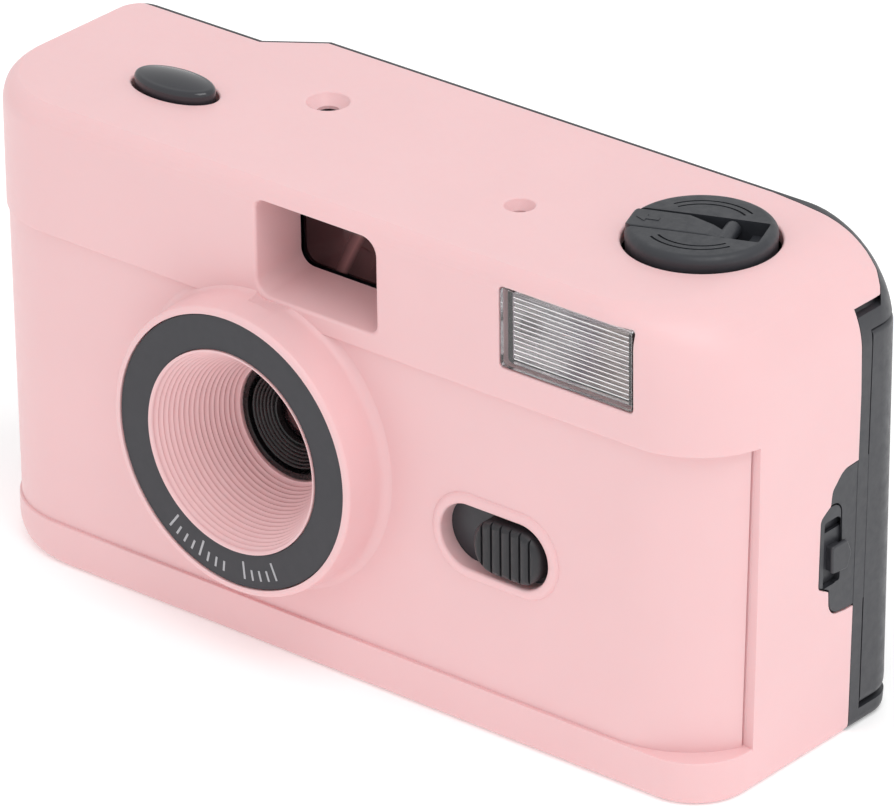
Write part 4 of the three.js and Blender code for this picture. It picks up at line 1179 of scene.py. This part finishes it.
def door_latch():
    """The sliding catch: a strip under the side plate, and a block to push it up by."""
    back = local_box("door_latch")[0][0]
    strip_face = back + 0.45
    slide = block(back, strip_face, 20.7, 28.1, 22.9, 27.5)
    slide.name = "door_latch_slide"
    clear = RIGHT - 0.4
    push = rounded(
        ((21.1, 22.5, 0.5), (23.9, 22.2, 0.6), (24.7, 24.0, 0.9), (23.9, 25.9, 0.6), (21.1, 25.9, 0.4)), 0.12
    )
    foot = rectangle(21.3, 23.2, 22.6, 25.7, (0.3,) * 4)
    join(slide, plate("foot", foot, "X", strip_face - 0.2, clear + 0.1))
    join(slide, plate("push_cap", push, "X", clear, RIGHT, high_edge=0.25))
    return finish_piece(slide, "door_latch", sharp=35)


def screw(node, head_top):
    """A countersunk cross-head screw. head_top is the height of the flat face of its head."""
    low, high = local_box(node)
    spot = middle(node)
    sign = 1 if head_top > spot[2] else -1
    end = low[2] if sign > 0 else high[2]
    profile = [(0, 0), (1.1, 0.02), (1.5, 0.25), (1.58, 0.5), (1.58, 0.98), (0.85, 0.98)]
    profile = [(radius, head_top - depth * sign) for radius, depth in profile]
    profile += [(0.85, end), (0, end)]
    body = turn(node + "_body", profile, spot, "Z", 48)
    reach, half_width, depth = 0.95, 0.18, 0.5
    x, y = spot[:2]
    for angle in (math.pi / 4, 3 * math.pi / 4):
        arm = block(x - reach, x + reach, y - half_width, y + half_width, head_top - depth, head_top + depth)
        cut(body, turned_about(arm, spot, angle))
    return finish_piece(body, node, sharp=35)


def battery_door():
    low, high = local_box("battery_door")
    outline = rectangle(low[0], high[0], low[1], high[1], (0.8,) * 4)
    door = plate("battery_door_cover", outline, "Z", low[2], low[2] + 1.4, low_edge=0.25)
    join(door, block(low[0] + 1, high[0] - 6, low[1] + 0.6, high[1] - 0.6, 1.2, high[2]))
    for i in range(5):
        at = high[0] - 7 + i * 1.2
        cut(door, plate("grip", stadium(at, (low[1] + high[1]) / 2, 0.5, 6), "Z", low[2] - 1, low[2] + 0.35))
    return finish_piece(door, "battery_door", sharp=35)


def eyepiece():
    low, high = local_box("viewfinder_eyepiece")
    outline = rectangle(low[0], high[0], low[2], high[2], (0.8,) * 4)
    frame_plate = plate("eyepiece_lens", outline, "Y", low[1], 32.6)
    eye = rectangle(-4.4, 4.4, 51.4, 55.4, (1.0,) * 4)
    join(frame_plate, plate("eye", eye, "Y", 32.4, high[1], high_edge=0.5))
    return finish_piece(frame_plate, "viewfinder_eyepiece", sharp=40)


def advance_wheel():
    """The thumb wheel, with even rounded teeth."""
    low, high = local_box("film_advance_wheel")
    centre = middle("film_advance_wheel")
    radius, teeth = (high[0] - low[0]) / 2, 36
    turned = np.linspace(0, 2 * math.pi, teeth * 10, endpoint=False)
    reach = radius - 0.55 + 0.55 * np.abs(np.cos(turned * teeth / 2)) ** 0.5
    outline = np.column_stack((centre[0] + reach * np.cos(turned), centre[1] + reach * np.sin(turned)))
    wheel = plate("film_advance_thumb_wheel", outline, "Z", 50.9, high[2], low_edge=0.3, high_edge=0.3)
    join(wheel, rod("hub", centre, 2.2, low[2], 51.5))
    return finish_piece(wheel, "film_advance_wheel", sharp=40)


def counter_dial():
    """The frame counter's dial with plain ticks round its edge, every third one longer."""
    low, high = local_box("frame_counter_disc")
    centre = middle("frame_counter_disc")[:2]
    dial = plate("frame_counter_dial", ellipse(*centre, 8, 8, 96), "Z", low[2], high[2], low_edge=0.1)
    finish_piece(dial, "frame_counter_disc", sharp=40)
    marks = [(2 * math.pi * k / 36, 6.3 if k % 3 else 5.4, 7.5) for k in range(36)]
    scale = ticks("frame_counter_ticks", centre, marks, 0.1, "Z", low[2] - 0.04, low[2] + 0.2)
    printed_on(dial, scale, plastic("tick_print", (0.02, 0.02, 0.02), (0.5, 0.6), 0.1))
    return dial


def round_cover(node, name, edge):
    low, high = local_box(node)
    radius = (high[0] - low[0]) / 2
    outline = ellipse(*middle(node)[:2], radius, radius, 64)
    return finish_piece(plate(name, outline, "Z", low[2], high[2], low_edge=edge), node, sharp=40)


def ready_lamp():
    low, high = local_box("flash_ready_lamp")
    centre = middle("flash_ready_lamp")
    radius = (high[0] - low[0]) / 2
    profile = [(0, low[1]), (radius, low[1]), (radius, high[1] - 0.7)]
    for k in range(1, 9):
        angle = math.pi / 2 * k / 8
        profile.append((radius * math.cos(angle), high[1] - 0.7 + 0.7 * math.sin(angle)))
    return finish_piece(turn("flash_ready_lens", profile, centre, "Y", 48), "flash_ready_lamp", sharp=40)


# ---------------------------------------------------------------- building
for build in (
    front_shell, main_chassis, back_door, lens_ring, lens_barrel, lens_glass, finder_window, flash_window,
    flash_reflector, switch_plate, switch_slider, shutter_button, rewind_knob, rewind_crank, door_latch,
):
    build()
for screw_name in ("top_screw_left", "top_screw_right"):
    screw(screw_name, local_box(screw_name)[1][2])
for screw_name in ("base_screw_left", "base_screw_right"):
    screw(screw_name, local_box(screw_name)[0][2])
battery_door()
eyepiece()
advance_wheel()
counter_dial()
round_cover("frame_counter_window", "frame_counter_glass", 0.2)
round_cover("rewind_release_button", "rewind_release_cap", 0.3)
ready_lamp()

CAD_EDGE = 0.00012
for cad_name, cad_node in frame["nodes"].items():
    if cad_node.hide_render:
        continue
    cad_node.data.materials.clear()
    cad_node.data.materials.append(MATERIALS[SLOT_OF[cad_name]])
    edges = cad_node.modifiers.new("soft_edges", "BEVEL")
    edges.width = CAD_EDGE
    edges.segments = 2
    edges.limit_method = "ANGLE"
    edges.angle_limit = math.radians(40)

# ---------------------------------------------------------------- camera, floor and light
AZIMUTH, ELEVATION, ROLL = math.radians(40.24), math.radians(26.574), math.radians(-0.687)
DISTANCE = 0.91707
AIM = Vector((0.00721, -0.00227, 0.03188))
SENSOR_MM, LENS_MM = 36.0, 323.83


def make_camera():
    """A long lens, high on the object's front right."""
    back = Vector((
        math.sin(AZIMUTH) * math.cos(ELEVATION),
        -math.cos(AZIMUTH) * math.cos(ELEVATION),
        math.sin(ELEVATION),
    ))
    level = Vector((math.cos(AZIMUTH), math.sin(AZIMUTH), 0))
    upright = back.cross(level)
    right = level * math.cos(ROLL) + upright * math.sin(ROLL)
    above = upright * math.cos(ROLL) - level * math.sin(ROLL)
    data = bpy.data.cameras.new("camera")
    data.sensor_width = SENSOR_MM
    data.lens = LENS_MM
    data.clip_start, data.clip_end = 0.05, 20
    camera = bpy.data.objects.new("camera", data)
    bpy.context.scene.collection.objects.link(camera)
    place = Matrix((right, above, back)).transposed().to_4x4()
    place.translation = AIM + back * DISTANCE
    camera.matrix_world = place
    bpy.context.scene.camera = camera


def make_floor():
    size = 6.0
    corners = [(-size, -size, 0), (size, -size, 0), (size, size, 0), (-size, size, 0)]
    floor = new_piece("floor", corners, [(0, 1, 2, 3)])
    material, tree, shader = new_material("pale_floor")
    vary_colour(tree, shader, (0.93, 0.93, 0.93), 0.004, 3)
    set_sockets(shader, Roughness=0.9, Specular_IOR_Level=0.0)
    set_sockets(shader, Emission_Color=(1.0, 1.0, 1.0, 1), Emission_Strength=0.22)
    floor.data.materials.append(material)


def area_light(name, spot, target, size, power, colour=(1, 1, 1)):
    data = bpy.data.lights.new(name, "AREA")
    data.shape = "RECTANGLE"
    data.size, data.size_y = size
    data.energy = power
    data.color = colour
    light = bpy.data.objects.new(name, data)
    bpy.context.scene.collection.objects.link(light)
    light.location = spot
    light.rotation_euler = (Vector(target) - Vector(spot)).to_track_quat("-Z", "Y").to_euler()


def make_light():
    world = bpy.data.worlds.new("studio")
    bpy.context.scene.world = world
    world.use_nodes = True
    set_sockets(world.node_tree.nodes["Background"], Color=(1.0, 1.0, 1.0, 1), Strength=0.84)
    centre = (0.0, 0.0, 0.03)
    area_light("key", (0.35, -0.1, 0.75), centre, (0.5, 0.5), 2.0)
    area_light("side", (0.8, 0.1, 0.3), centre, (0.4, 0.5), 0.1)
    bpy.context.scene.view_settings.view_transform = "Standard"


make_camera()
make_floor()
make_light()
